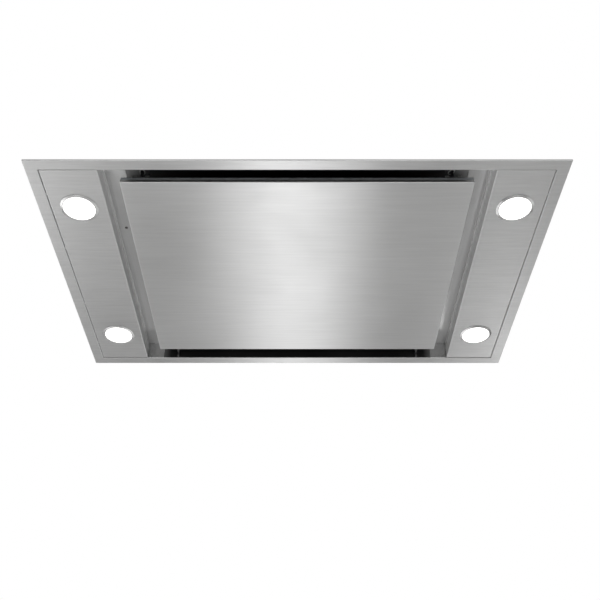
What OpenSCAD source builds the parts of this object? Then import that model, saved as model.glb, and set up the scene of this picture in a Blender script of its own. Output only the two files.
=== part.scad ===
// Ceiling range hood that draws air in round the edge of a drop-down door panel.
// The origin is the middle of the ceiling opening, in the plane of the ceiling.
// X runs along the long side, +Y away from the cook, +Z up into the ceiling void.

/* [Trim frame] */
// Length of the trim frame
frame_w = 900; // [880:5:1000]
// Depth of the trim frame
frame_d = 600; // [590:5:680]
// Width of its visible border
border_w = 21; // [18:0.5:24]
// Drop of its face below the ceiling
frame_drop = 3; // [2.5:0.5:5]
// Sheet thickness of the trim frame and the lamp panels
trim_sheet = 1.2; // [1:0.1:1.5]
// Height of the upstand round its window
upstand_h = 12; // [9:1:18]
// Radius of its outer and inner folds
fold_r = 1; // [0.6:0.1:1.2]

/* [Lamp panels] */
// Width of each lamp panel
lamp_panel_w = 97; // [80:1:110]
// Seam between a lamp panel and the trim frame at its outer side
lamp_seam = 1.5; // [1:0.1:2.5]
// Seam at the near end of a lamp panel
near_seam = 0.4; // [0.3:0.1:1.5]
// Seam at the far end of a lamp panel
far_seam = 2; // [1:0.1:3]
// Height of the fold that makes the side wall of the bay
side_wall_h = 25; // [18:1:30]
// Distance of the lamps from the middle of the hood
lamp_y = 190; // [150:5:230]
// Radius of the lit lens
lens_r = 28.5; // [24:0.5:31]
// Width of the sloping bezel outside the lens
bezel_w = 4.5; // [3.6:0.1:6]
// Drop of the bezel's inner edge below the panel
bezel_t = 1.8; // [1.4:0.1:3]
// Height of the lamp housing above the panel
lamp_h = 24; // [18:1:32]

/* [Bay and chamber] */
// Height of the side ledges above the face of the trim frame
ledge_rise = 39; // [34:1:42]
// Width of each side ledge
ledge_w = 35.5; // [33:0.5:42]
// Sheet thickness of the side trays
tray_sheet = 1; // [0.8:0.1:1.2]
// Sheet thickness of the black chamber
liner_sheet = 1; // [0.8:0.1:1.2]
// Height of the filter deck above the face of the trim frame
deck_rise = 78; // [72:1:90]

/* [Door panel] */
// Gap between the door panel and each side wall of the bay
side_gap = 31.5; // [28:0.5:36]
// Gap at the near edge of the door panel
near_gap = 29.5; // [27:0.5:34]
// Gap at its far edge, where the hinges are
far_gap = 31; // [30:0.5:36]
// Height of its face above the face of the trim frame
door_inset = 2; // [1:0.5:3]
// Thickness of the door panel
door_t = 11.5; // [10:0.5:12.5]
// Sheet thickness of its steel skin
skin_sheet = 1; // [0.8:0.1:1.2]
// Height of the folded edge of the skin
skin_return = 6; // [4.5:0.5:7]
// Fold radius of the skin
skin_r = 1.3; // [1.2:0.1:2]
// Sheet thickness of the back pan
back_sheet = 0.8; // [0.6:0.1:1]

/* [Hinges] */
// Distance of the hinges from the side edges of the door
hinge_in = 36; // [30:1:60]
// Distance of the hinge axis beyond the far edge of the door
hinge_reach = 10; // [9:0.5:11]
// Height of the hinge axis above the face of the door
hinge_rise = 14; // [13:0.5:15]
// Radius of the hinge pins
pin_r = 2.5; // [2:0.1:2.8]
// Radius of the barrel on each hinge arm
barrel_r = 5; // [4.5:0.1:5.5]
// Length of that barrel
barrel_len = 14; // [10:1:20]
// Thickness of the hinge brackets
bracket_t = 3; // [2:0.5:4]

/* [Catches] */
// Distance of the catches from the side edges of the door
catch_in = 32.5; // [30:0.5:45]
// Distance of the catches from its near edge
catch_back = 13; // [11:0.5:15]
// Radius of the catch studs
stud_r = 2.4; // [2:0.1:2.5]
// End radius of the slot in each catch plate
stud_hole_r = 3.25; // [3.2:0.05:4]
// Reach of that slot towards the near side
slot_reach = 4; // [2:0.5:6]
// Length of the catch plates along X
plate_len = 39; // [38:0.5:46]
// Depth of the catch plates along Y
plate_d = 36; // [28:1:44]
// Thickness of the catch plates
plate_t = 1.5; // [1.2:0.1:2]
// Height of each stud above its catch plate
stud_over = 12; // [9:0.5:13]

/* [Grease filters] */
// Length of the grease filters
filter_l = 376; // [340:4:430]
// Thickness of the grease filters
filter_t = 9; // [8:0.5:12]
// Width of the filter border
filter_border = 14; // [12:0.5:18]
// Hold of the deck under the near edge of a filter
filter_hold = 5; // [4:0.5:6]
// Travel of a filter against its springs
filter_travel = 8; // [7:0.5:10]
// Pitch of the folds in the filter mesh
mesh_pitch = 9; // [7:0.5:14]

/* [Casing] */
// Height of the casing above the ceiling
casing_h = 265; // [260:5:320]
// Sheet thickness of the casing
casing_sheet = 1; // [0.8:0.1:1.2]
// Width of the flange round its top
top_flange_w = 14; // [12:1:20]
// Radius of the pressed beads
bead_r = 6; // [4:0.5:8]
// Height of the suspension hangers above the lid
hanger_h = 32; // [25:1:50]
// Distance of the hanger slots from the left and right walls of the casing
hanger_in_x = 69; // [50:1:110]
// Distance of the hanger slots from its near and far walls
hanger_in_y = 59; // [45:1:100]
// Radius of the ends of the hanger slots
slot_r = 4.5; // [4:0.1:5.5]
// Length of the hanger slots from end to end
slot_l = 22; // [16:1:26]

/* [Blower] */
// Radius of the impeller
impeller_r = 105; // [96:1:108]
// Height of the impeller
impeller_h = 88; // [76:1:90]
// Number of impeller blades
blade_count = 36; // [28:2:44]
// Radial depth of the blades
blade_depth = 21; // [17:0.5:23]
// Thickness of the blades
blade_t = 1.2; // [0.8:0.1:1.6]
// Smallest gap between the impeller and the scroll
scroll_gap = 12; // [9:0.5:15]
// Growth of the scroll with each quarter turn
scroll_grow = 16; // [12:0.5:18]
// Height of the scroll
scroll_h = 110; // [106:1:116]
// Wall of the scroll
scroll_wall = 2.5; // [2:0.1:3]
// Width of the scroll's outlet
outlet_w = 150; // [136:1:154]
// Gap between the scroll and the lid
hang_gap = 32; // [30:1:40]
// Distance of the blower's axis from the middle of the hood towards the outlet
blower_y = 20; // [0:1:26]
// Radius of the motor
motor_r = 50; // [42:1:52]

/* [Duct outlet] */
// Outer radius of the duct collar
collar_r = 74.5; // [70:0.5:76]
// Wall of the duct collar
collar_wall = 2; // [1.6:0.1:2.6]
// Length of the duct collar outside the casing
collar_len = 42; // [36:1:60]
// Width of its flange
collar_flange_w = 12; // [11:0.5:16]
// Thickness of the flaps
flap_t = 1.5; // [1.2:0.1:2]
// Radius of the flap pin
flap_pin_r = 2; // [1.6:0.1:2.4]

/* [Controls] */
// Length of the control box
box_l = 190; // [160:5:220]
// Depth of the control box
box_d = 120; // [100:5:140]
// Height of the control box
box_h = 40; // [34:1:50]
// Distance of the control box to the right of the middle
box_x = 224; // [190:2:250]
// Distance of the control box towards the cook
box_near = 84; // [60:2:120]
// Bore of the cable gland
gland_bore_r = 4.5; // [3.5:0.1:5]
// Radius of the receiver window in the left ledge
window_r = 2.5; // [2:0.1:3.5]

/* [Hidden] */
$fn = 48;
left = -1;
right = 1;
// Overrun of every cut beyond the face that it opens
over = 0.5;
// Gap between pieces that move past each other
run_gap = 0.3;
// Radial clearance of pins and shafts in their bores
pin_clear = 0.05;

// Levels and places of the trim, the bay and the chamber
z_face = -frame_drop;
z_rim = z_face + trim_sheet;
win_x = frame_w / 2 - border_w;
win_y = frame_d / 2 - border_w;
bay_x = win_x - lamp_seam - lamp_panel_w;
lamp_x = bay_x + lamp_panel_w / 2;
lamp_hole_r = lens_r + bezel_w / 3;
bezel_r = lens_r + bezel_w;
z_ledge = z_face + ledge_rise;
chamber_x = bay_x - ledge_w;
liner_x = chamber_x - liner_sheet;
wall_y = win_y - liner_sheet;
z_deck = z_face + deck_rise;
z_seat = z_deck + liner_sheet;
// Height of the hidden lower edge of the bay's end walls above the trim face
skirt_lift = 1;
tray_lip_h = 10;
tray_low_h = 12;
boss_r = 5;
boss_shares = [-0.8, -0.3, 0.3, 0.8];

// Door panel, hinges and catches
door_hx = bay_x - side_gap;
door_y0 = -win_y + near_gap;
door_y1 = win_y - far_gap;
door_w = 2 * door_hx;
door_d = door_y1 - door_y0;
door_y = (door_y0 + door_y1) / 2;
z_door = z_face + door_inset;
z_back = z_door + door_t;
rib_count = 4;
rib_w = 46;
rib_foot = 10;
rib_sheet = 0.6;
rib_span_share = 0.86;
pan_seam = 0.3;
pan_flare = 2.6;
pan_hem = 0.8;
axis_y = door_y1 + hinge_reach;
axis_z = z_door + hinge_rise;
hinge_x = door_hx - hinge_in;
eye_wall = 1.2;
eye_r = barrel_r + eye_wall;
strap_t = 2.5;
strap_l = 60;
bracket_side = bracket_t / 2;
sweep_air = 0.7;
sweep_r = norm([hinge_reach, hinge_rise]) + sweep_air;
foot_air = 0.6;
foot_d = wall_y - axis_y - hinge_rise - foot_air;
wing_w = 18;
wing_h = 22;
pin_head_r = 4;
pin_head_t = 1.5;
catch_x = door_hx - catch_in;
catch_y = door_y0 + catch_back;
z_catch = z_ledge + plate_t;
omega_w = 29;
omega_d = 14;
omega_h = 8;
omega_foot = 7;
omega_sheet = 1.2;
ear_h = 11;
stud_tip_h = 4;
clip_sheet = 0.8;
clip_h = 15;
clip_w = 10;
clip_foot = 8;

// Grease filters
guide_w = 10;
side_play = 0.5;
filter_w = liner_x - 1.5 * guide_w - 2 * side_play;
filter_x = guide_w / 2 + side_play + filter_w / 2;
filter_back = filter_travel + filter_hold;
hatch_l = filter_l - filter_hold - filter_back;
side_hold = 6;
hatch_w = filter_w - 2 * side_hold;
filter_y0 = -hatch_l / 2 - filter_hold;
filter_y1 = filter_y0 + filter_l;
z_filter = z_seat + run_gap;
filter_sheet = 0.8;
groove_w = 6;
mesh_t = 0.7;
pocket_sheet = 1.2;
pocket_y = filter_y1 + filter_travel + run_gap;
pocket_lip = 16;
spring_chord = 70;
spring_t = 0.6;
spring_rise = filter_travel;
spring_r = (spring_chord * spring_chord / 4 + spring_rise * spring_rise) / (2 * spring_rise);
spring_h = 5;
handle_w = 70;
handle_r = 2.5;
handle_drop = 15;

// Casing, lid and hangers
casing_x = win_x + trim_sheet;
casing_y = win_y + trim_sheet;
casing_ox = casing_x + casing_sheet;
casing_oy = casing_y + casing_sheet;
lid_top = casing_h + casing_sheet;
bead_out = bead_r / 2;
bead_inset = 70;
hanger_t = 2.5;
hanger_w = 44;
hanger_foot = 34;
screw_r = 1.9;
screw_head_r = 4;
screw_head_h = 2.4;
screw_grip = 5;

// Blower
inlet_step = 6;
inlet_r = impeller_r - blade_depth - inlet_step;
bell_r = 12;
cone_t = 2;
cone_flange = 14;
scroll_r1 = impeller_r + scroll_gap;
scroll_r2 = scroll_r1 + scroll_grow;
scroll_r3 = scroll_r2 + scroll_grow;
throat_x1 = scroll_r3 + scroll_grow;
throat_x0 = throat_x1 - outlet_w;
throat_len = 60;
throat_y = scroll_r1 + throat_len;
blower_x = -(throat_x0 + throat_x1) / 2;
scroll_top = casing_h - hang_gap;
scroll_low = scroll_top - scroll_h;
duct_z = scroll_low + scroll_h / 2;
cover_lip = 6;
wheel_z0 = scroll_low + scroll_wall + (scroll_h - 2 * scroll_wall - impeller_h) / 2;
wheel_z1 = wheel_z0 + impeller_h;
ring_h = 2.5;
blade_r = blade_depth * 1.06;
cup_air = 6;
cup_r = motor_r + cup_air;
cup_depth = 56;
cup_sheet = 2;
hub_r = 11;
hub_h = 22;
shaft_r = 4;
motor_air = 8;
motor_low = wheel_z1 - cup_depth + cup_sheet + motor_air;
motor_flange_w = 14;
motor_flange_r = motor_r + motor_flange_w;
guard_wire_r = 1.5;
guard_rod_r = 1.8;
guard_rings = 5;
mount_r = 9;
mount_h = 9;
mount_places = [
  [-0.72 * scroll_r1, 0.5 * scroll_r1], [-0.7 * scroll_r1, -0.62 * scroll_r1],
  [0.72 * scroll_r2, -0.66 * scroll_r2], [0.88 * throat_x1, 0.82 * throat_y]
];
bracket_foot_w = 26;
bracket_sheet = 1.5;
can_r = 14;
can_l = 58;

// Duct collar and flaps
collar_in = collar_r - collar_wall;
rim_w = 3.5;
collar_base = 2.5;
flap_in = 14;
flap_y = casing_oy + flap_in;
pin_half = collar_in + collar_wall / 2;
flap_air = 1.5;
flap_r = collar_in - flap_air;
knuckle_wall = 2;
knuckle_r = flap_pin_r + knuckle_wall;
knuckle_count = 4;
flap_root_air = 0.6;
flap_root = knuckle_r + flap_root_air;
rim_t = 2;

// Lamp housing, controls and small parts
can_wall = 1.2;
fin_count = 12;
fin_t = 1.5;
fin_w = 4;
lens_lip = 0.5;
bezel_edge = 0.6;
lens_t = 2.2;
lamp_clip_w = 9;
lamp_clip_t = 0.6;
lamp_clip_l = 17;
box_wall = 2.5;
box_r = 6;
box_y = -box_near;
cover_h = 12;
gland_hex_r = 12;
gland_body_r = 9;
gland_thread_r = gland_body_r * 0.8;
driver_l = 120;
driver_w = 28;
driver_h = 21;
receiver_share = 0.3556;
receiver_in = 12.5;
receiver_x = receiver_in - bay_x;
receiver_y = -win_y * receiver_share;

// Flat outline with round corners
module round_rect(w, d, r) {
  square([w - 2 * r, d], center = true);
  square([w, d - 2 * r], center = true);
  for (sx = [-1, 1], sy = [-1, 1])
    translate([sx * (w / 2 - r), sy * (d / 2 - r)])
      circle(r = r);
}

// Slab whose lower edges and upright corners are folded to one radius
module soft_slab(w, d, h, r) {
  translate([0, 0, r])
    linear_extrude(h - r)
      round_rect(w, d, r);
  translate([-w / 2 + r, -d / 2 + r, 0])
    cube([w - 2 * r, d - 2 * r, h]);
  for (s = [-1, 1]) {
    translate([-w / 2 + r, s * (d / 2 - r), r])
      rotate([0, 90, 0])
        cylinder(r = r, h = w - 2 * r);
    translate([s * (w / 2 - r), -d / 2 + r, r])
      rotate([-90, 0, 0])
        cylinder(r = r, h = d - 2 * r);
    for (t = [-1, 1])
      translate([s * (w / 2 - r), t * (d / 2 - r), r])
        sphere(r = r);
  }
}

// Four walls that stand outside the rectangle of half sizes x and y
module walls(x, y, sheet, h) {
  linear_extrude(h)
    difference() {
      square([2 * (x + sheet), 2 * (y + sheet)], center = true);
      square([2 * x, 2 * y], center = true);
    }
}

// Long cutter that leaves a round edge of radius r along X, at the corner +Y +Z of its axis
module edge_cutter(len, r) {
  rotate([90, 0, 90])
    linear_extrude(len, center = true)
      difference() {
        translate([-over, -over])
          square([r + over, r + over]);
        translate([r, r])
          circle(r = r);
      }
}

// Long cutter under a wall along X whose outer plane is y = 0: in by w at its foot, by 0 at height h
module slope_cutter(len, w, h) {
  rotate([90, 0, 90])
    linear_extrude(len, center = true)
      polygon([[-over, -over], [w + w * over / h, -over], [0, h], [-over, h]]);
}

// A pan-head screw along +Z whose head sits on z = 0
module pan_screw() {
  intersection() {
    translate([0, 0, screw_head_h - screw_head_r * 1.6])
      sphere(r = screw_head_r * 1.6);
    cylinder(r = screw_head_r, h = screw_head_h);
  }
  translate([0, 0, -screw_grip])
    cylinder(r = screw_r, h = screw_grip + screw_head_h / 2);
}

module on_side(side) {
  mirror([side < 0 ? 1 : 0, 0, 0])
    children();
}

module both_sides() {
  for (side = [left, right])
    on_side(side)
      children();
}

// Trim frame: flat ring, return lip up to the ceiling and upstand round the window
module trim_frame() {
  color("silver")
    difference() {
      union() {
        translate([0, 0, z_face])
          difference() {
            soft_slab(frame_w, frame_d, frame_drop, fold_r);
            translate([-frame_w / 2 + trim_sheet, -frame_d / 2 + trim_sheet, trim_sheet])
              cube([frame_w - 2 * trim_sheet, frame_d - 2 * trim_sheet, frame_drop]);
          }
        translate([0, 0, z_face])
          walls(win_x, win_y, trim_sheet, upstand_h);
      }
      translate([-win_x, -win_y, z_face - over])
        cube([2 * win_x, 2 * win_y, upstand_h + 2 * over]);
      for (turn = [0, 180]) {
        rotate([0, 0, turn])
          translate([0, win_y, z_face])
            edge_cutter(2 * win_x, fold_r);
        rotate([0, 0, turn + 90])
          translate([0, win_x, z_face])
            edge_cutter(2 * win_y, fold_r);
      }
    }
}

// Lamp panel on the right: flat field, flanges on three sides and the side wall of the bay
module lamp_panel() {
  x1 = win_x - lamp_seam;
  y0 = -win_y + near_seam;
  y1 = win_y - far_seam;
  color("lightgray")
    difference() {
      union() {
        translate([bay_x, y0, z_face])
          cube([lamp_panel_w, y1 - y0, trim_sheet]);
        translate([bay_x, y0, z_face])
          cube([trim_sheet, y1 - y0, side_wall_h]);
        translate([x1 - trim_sheet, y0, z_face])
          cube([trim_sheet, y1 - y0, upstand_h]);
        for (y = [y0, y1 - trim_sheet])
          translate([bay_x, y, z_face])
            cube([lamp_panel_w, trim_sheet, upstand_h]);
        for (share = boss_shares)
          translate([x1 - over, share * y1, z_face + upstand_h / 2])
            rotate([0, 90, 0])
              cylinder(r = boss_r, h = lamp_seam + over);
      }
      translate([bay_x, 0, z_face])
        rotate([0, 0, -90])
          edge_cutter(2 * frame_d, fold_r);
      translate([x1, 0, z_face])
        rotate([0, 0, 90])
          edge_cutter(2 * frame_d, fold_r);
      translate([lamp_x, y0, z_face])
        edge_cutter(2 * lamp_panel_w, fold_r);
      translate([lamp_x, y1, z_face])
        rotate([0, 0, 180])
          edge_cutter(2 * lamp_panel_w, fold_r);
      for (s = [-1, 1])
        translate([lamp_x, s * lamp_y, z_face - over])
          cylinder(r = lamp_hole_r, h = trim_sheet + 2 * over);
    }
}

// Side tray on the right: ledge, corner walls of the bay and a lip for the chamber
module side_tray(window) {
  x1 = bay_x + trim_sheet + tray_sheet;
  color("gainsboro")
    difference() {
      union() {
        translate([chamber_x, -win_y, z_ledge])
          cube([x1 - chamber_x, 2 * win_y, tray_sheet]);
        translate([x1 - tray_sheet, -win_y, z_face + tray_low_h])
          cube([tray_sheet, 2 * win_y, ledge_rise - tray_low_h + tray_sheet]);
        translate([chamber_x, -wall_y, z_ledge])
          cube([tray_sheet, 2 * wall_y, tray_lip_h]);
        for (y = [-win_y, wall_y]) {
          translate([chamber_x, y, z_face + skirt_lift])
            cube([ledge_w, tray_sheet, ledge_rise - skirt_lift + tray_sheet]);
          translate([bay_x, y, z_face + side_wall_h])
            cube([x1 - bay_x, tray_sheet, ledge_rise - side_wall_h + tray_sheet]);
        }
      }
      if (window)
        translate([-receiver_x, receiver_y, z_ledge - over])
          cylinder(r = window_r + pin_clear, h = tray_sheet + 2 * over);
    }
}

// Black chamber above the door with the deck that carries the filters
module liner() {
  color("#1c1c1c")
    difference() {
      union() {
        for (s = [-1, 1]) {
          translate([s * (chamber_x - liner_sheet / 2) - liner_sheet / 2, -wall_y, z_ledge])
            cube([liner_sheet, 2 * wall_y, z_seat - z_ledge]);
          translate([-chamber_x, s * (win_y - liner_sheet / 2) - liner_sheet / 2, z_face + skirt_lift])
            cube([2 * chamber_x, liner_sheet, z_seat - z_face - skirt_lift]);
        }
        translate([-chamber_x, -win_y, z_deck])
          cube([2 * chamber_x, 2 * win_y, liner_sheet]);
      }
      for (s = [-1, 1])
        translate([s * filter_x, 0, z_deck - over])
          linear_extrude(liner_sheet + 2 * over)
            round_rect(hatch_w, hatch_l, side_hold);
    }
}

// Strips on the deck between and beside the filters
module filter_guides() {
  color("dimgray")
    for (x = [-liner_x + guide_w / 2, 0, liner_x - guide_w / 2])
      translate([x - guide_w / 2, filter_y0, z_seat])
        cube([guide_w, filter_l, filter_t]);
}

// Folded strip behind the filters that takes their springs
module filter_pocket() {
  pocket_h = filter_t + 3 * run_gap;
  color("dimgray") {
    translate([-liner_x, pocket_y, z_seat])
      cube([2 * liner_x, pocket_sheet, pocket_h + pocket_sheet]);
    translate([-liner_x, pocket_y - pocket_lip, z_seat + pocket_h])
      cube([2 * liner_x, pocket_lip + pocket_sheet, pocket_sheet]);
  }
}

// Two bowed leaf springs behind a filter
module filter_springs() {
  color("silver")
    for (t = [-1, 1])
      translate([filter_x + t * filter_w / 4, pocket_y, z_filter + (filter_t - spring_h) / 2])
        linear_extrude(spring_h)
          intersection() {
            translate([0, spring_r - spring_rise])
              difference() {
                circle(r = spring_r, $fn = 180);
                circle(r = spring_r - spring_t, $fn = 180);
              }
            translate([-spring_chord / 2, -spring_rise])
              square([spring_chord, spring_rise]);
          }
}

// Filter border with a groove for the mesh
module filter_frame() {
  inner_w = filter_w - 2 * filter_border;
  inner_l = filter_l - 2 * filter_border;
  color("lightsteelblue")
    translate([filter_x, (filter_y0 + filter_y1) / 2, z_filter])
      difference() {
        linear_extrude(filter_t)
          difference() {
            round_rect(filter_w, filter_l, filter_border / 4);
            square([inner_w, inner_l], center = true);
          }
        translate([0, 0, filter_sheet])
          linear_extrude(filter_t - 2 * filter_sheet)
            square([inner_w + 2 * groove_w, inner_l + 2 * groove_w], center = true);
      }
}

// Corrugated mesh pack that fills the groove of the border
module filter_mesh() {
  span = filter_w - 2 * filter_border + 2 * groove_w;
  len = filter_l - 2 * filter_border + 2 * groove_w;
  folds = 2 * floor(span / mesh_pitch);
  rise = filter_t - 2 * filter_sheet - mesh_t;
  low = [for (i = [0:folds]) [i * span / folds - span / 2, i % 2 * rise]];
  high = [for (i = [folds:-1:0]) [low[i][0], low[i][1] + mesh_t]];
  color("gray")
    translate([filter_x, (filter_y0 + filter_y1) / 2 + len / 2, z_filter + filter_sheet])
      rotate([90, 0, 0])
        linear_extrude(len)
          polygon(concat(low, high));
}

// Rod handle that hangs below the near border
module filter_handle() {
  y = filter_y0 + filter_border - handle_r - run_gap;
  color("silver")
    translate([filter_x, y, z_filter]) {
      for (s = [-1, 1])
        translate([s * handle_w / 2, 0, -handle_drop])
          cylinder(r = handle_r, h = handle_drop);
      for (s = [-1, 1])
        translate([s * handle_w / 2, 0, -handle_drop])
          sphere(r = handle_r);
      translate([-handle_w / 2, 0, -handle_drop])
        rotate([0, 90, 0])
          cylinder(r = handle_r, h = handle_w);
    }
}

// Steel skin of the door: a shallow pan with folded edges
module door_skin() {
  color("silver")
    translate([0, door_y, z_door])
      difference() {
        soft_slab(door_w, door_d, skin_return, skin_r);
        translate([-door_hx + skin_sheet, -door_d / 2 + skin_sheet, skin_sheet])
          cube([door_w - 2 * skin_sheet, door_d - 2 * skin_sheet, skin_return]);
      }
}

// Back pan of the door: nested in the skin, flared above its fold, with two pressed fields
module door_back() {
  hx = door_hx - skin_sheet;
  hy = door_d / 2 - skin_sheet;
  rise = door_t - skin_return - pan_seam - pan_hem;
  field_w = hx - rib_w;
  field_d = door_d - 2 * strap_l - 2 * rib_w;
  color("darkgray")
    translate([0, door_y, z_door])
      difference() {
        union() {
          translate([-hx, -hy, skin_sheet])
            cube([2 * hx, 2 * hy, skin_return]);
          translate([0, 0, skin_return + pan_seam])
            linear_extrude(door_t - skin_return - pan_seam)
              round_rect(door_w, door_d, skin_r);
        }
        for (turn = [0, 180]) {
          rotate([0, 0, turn])
            translate([0, -door_d / 2, skin_return + pan_seam])
              slope_cutter(2 * door_w, pan_flare, rise);
          rotate([0, 0, turn + 90])
            translate([0, -door_hx, skin_return + pan_seam])
              slope_cutter(2 * door_w, pan_flare, rise);
        }
        translate([-hx + pan_flare, -hy + pan_flare, skin_sheet - over])
          cube([2 * (hx - pan_flare), 2 * (hy - pan_flare), door_t - skin_sheet - back_sheet + over]);
        for (s = [-1, 1])
          translate([s * (hx / 2), 0, door_t - back_sheet / 2])
            linear_extrude(back_sheet)
              round_rect(field_w, field_d, rib_w / 2);
      }
}

// Top-hat ribs bonded between the skin and the back pan
module door_stiffeners() {
  h = door_t - skin_sheet - back_sheet;
  len = rib_span_share * door_w;
  color("gray")
    for (i = [0:rib_count - 1])
      translate([0, door_y + (i - (rib_count - 1) / 2) * door_d / (rib_count + 1), z_door + skin_sheet]) {
        translate([-len / 2, -rib_w / 2, h - rib_sheet])
          cube([len, rib_w, rib_sheet]);
        for (s = [-1, 1]) {
          translate([-len / 2, s * (rib_w - rib_sheet) / 2 - rib_sheet / 2, 0])
            cube([len, rib_sheet, h]);
          translate([-len / 2, s * (rib_w + rib_foot) / 2 - rib_foot / 2, 0])
            cube([len, rib_foot, rib_sheet]);
        }
      }
}

// Hinge bracket on the right: eye round the pin, foot on the end wall and a screwed wing
module hinge_bracket() {
  reach = wall_y - axis_y;
  translate([hinge_x - bracket_side, axis_y, axis_z])
    difference() {
      union() {
        rotate([0, 90, 0])
          cylinder(r = eye_r, h = bracket_t);
        translate([0, 0, -barrel_r])
          cube([bracket_t, reach, barrel_r + eye_r]);
        translate([0, reach - foot_d, -hinge_rise])
          cube([bracket_t, foot_d, hinge_rise + eye_r + wing_h]);
        translate([0, reach - bracket_t / 2, eye_r + pin_head_t])
          cube([wing_w, bracket_t / 2, wing_h - pin_head_t]);
      }
      rotate([0, 90, 0])
        translate([0, 0, -over])
          cylinder(r = pin_r + pin_clear, h = bracket_t + 2 * over);
      translate([-over, 0, 0])
        intersection() {
          rotate([0, 90, 0])
            cylinder(r = sweep_r, h = bracket_t + 2 * over);
          translate([0, 0, -sweep_r])
            cube([bracket_t + 2 * over, sweep_r, sweep_r - barrel_r]);
        }
      for (s = [-1, 1])
        translate([wing_w / 2 + bracket_t / 2, reach + over, eye_r + wing_h / 2 + s * wing_h / 4])
          rotate([90, 0, 0])
            cylinder(r = screw_r, h = bracket_t);
    }
}

module hinge_brackets() {
  color("gainsboro")
    both_sides()
      hinge_bracket();
}

// Shouldered pins with a head outside the bracket and a clip inside the barrel
module hinge_pins() {
  inner_x = hinge_x - bracket_side - run_gap - barrel_len - run_gap;
  outer_x = hinge_x + bracket_side;
  color("silver")
    both_sides()
      translate([0, axis_y, axis_z])
        rotate([0, 90, 0]) {
          translate([0, 0, inner_x - pin_head_t])
            cylinder(r = pin_r, h = outer_x - inner_x + pin_head_t);
          translate([0, 0, outer_x])
            cylinder(r = pin_head_r, h = pin_head_t);
          translate([0, 0, inner_x - pin_head_t])
            cylinder(r = pin_head_r, h = pin_head_t);
        }
}

// Straps on the back of the door that end in the hinge barrels
module hinge_arms() {
  barrel_x = hinge_x - bracket_side - run_gap - barrel_len;
  color("gainsboro")
    both_sides()
      difference() {
        union() {
          translate([barrel_x, axis_y, axis_z])
            rotate([0, 90, 0])
              cylinder(r = barrel_r, h = barrel_len);
          translate([barrel_x, axis_y - hinge_reach - strap_l, z_back])
            cube([barrel_len, strap_l + hinge_reach, strap_t]);
        }
        translate([barrel_x - over, axis_y, axis_z])
          rotate([0, 90, 0])
            cylinder(r = pin_r + pin_clear, h = barrel_len + 2 * over);
        for (share = [0.25, 0.75])
          translate([barrel_x + barrel_len / 2, axis_y - hinge_reach - share * strap_l, z_back - over])
            cylinder(r = screw_r, h = strap_t + 2 * over);
      }
}

// Upright slot of end radius r round the stud on the right, drawn out towards the near side
module stud_slot(r, z, h) {
  for (reach = [0, slot_reach])
    translate([catch_x, catch_y - reach, z])
      cylinder(r = r, h = h);
  translate([catch_x - r, catch_y - slot_reach, z])
    cube([2 * r, slot_reach, h]);
}

// Angle plates at the level of the ledges, each with a rimmed slot for a stud
module catch_plates() {
  color("#4a4a4a")
    both_sides()
      difference() {
        union() {
          translate([liner_x - plate_len, catch_y - plate_d / 2, z_ledge])
            cube([plate_len, plate_d, plate_t]);
          translate([liner_x - plate_t, catch_y - plate_d / 2, z_ledge])
            cube([plate_t, plate_d, (z_deck - z_ledge) * 0.7]);
          stud_slot(stud_hole_r + plate_t, z_ledge - plate_t / 2, plate_t);
        }
        stud_slot(stud_hole_r, z_ledge - plate_t, 3 * plate_t);
      }
}

// Spring jaws that stand on the catch plates and grip the studs
module catch_clips() {
  gap = stud_r + run_gap;
  color("silver")
    both_sides()
      translate([catch_x, catch_y, z_catch])
        for (s = [-1, 1])
          mirror([s < 0 ? 1 : 0, 0, 0]) {
            translate([gap, -clip_w / 2, 0])
              cube([clip_sheet, clip_w, clip_h]);
            translate([gap, -clip_w / 2, 0])
              cube([clip_foot, clip_w, clip_sheet]);
            translate([gap + clip_foot / 2, -clip_w / 2, clip_h])
              rotate([-90, 0, 0])
                difference() {
                  cylinder(r = clip_foot / 2, h = clip_w);
                  translate([0, 0, -over])
                    cylinder(r = clip_foot / 2 - clip_sheet, h = clip_w + 2 * over);
                  translate([-clip_foot, 0, -over])
                    cube([2 * clip_foot, clip_foot, clip_w + 2 * over]);
                }
          }
}

// Bridge brackets on the back of the door that carry the studs, with an ear at each foot
module stud_brackets() {
  span = omega_w - 2 * omega_foot;
  color("silver")
    both_sides()
      translate([catch_x, catch_y, z_back])
        difference() {
          union() {
            translate([-omega_w / 2, -omega_d / 2, 0])
              cube([omega_foot, omega_d, omega_sheet]);
            translate([omega_w / 2 - omega_foot, -omega_d / 2, 0])
              cube([omega_foot, omega_d, omega_sheet]);
            for (x = [-omega_w / 2, omega_w / 2 - omega_foot])
              translate([x, -omega_d / 2, 0])
                cube([omega_foot, omega_sheet, ear_h]);
            for (s = [-1, 1])
              translate([s * (span / 2 + omega_sheet / 2) - omega_sheet / 2, -omega_d / 2, 0])
                cube([omega_sheet, omega_d, omega_h]);
            translate([-span / 2 - omega_sheet, -omega_d / 2, omega_h - omega_sheet])
              cube([span + 2 * omega_sheet, omega_d, omega_sheet]);
          }
          translate([0, 0, omega_h - 2 * omega_sheet])
            cylinder(r = stud_r + pin_clear, h = 3 * omega_sheet);
        }
}

// Studs with a shoulder under the bridge, a nut above it and a tapered tip
module catch_studs() {
  top = z_catch + stud_over;
  base = z_back + omega_h - 2 * omega_sheet;
  color("silver")
    both_sides()
      translate([catch_x, catch_y, 0]) {
        translate([0, 0, base])
          cylinder(r = stud_r, h = top - stud_tip_h - base);
        translate([0, 0, top - stud_tip_h])
          cylinder(r1 = stud_r, r2 = stud_r / 2, h = stud_tip_h);
        translate([0, 0, base])
          cylinder(r = 1.6 * stud_r, h = omega_sheet);
        translate([0, 0, z_back + omega_h])
          cylinder(r = 1.8 * stud_r, h = 2 * omega_sheet, $fn = 6);
      }
}

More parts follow.
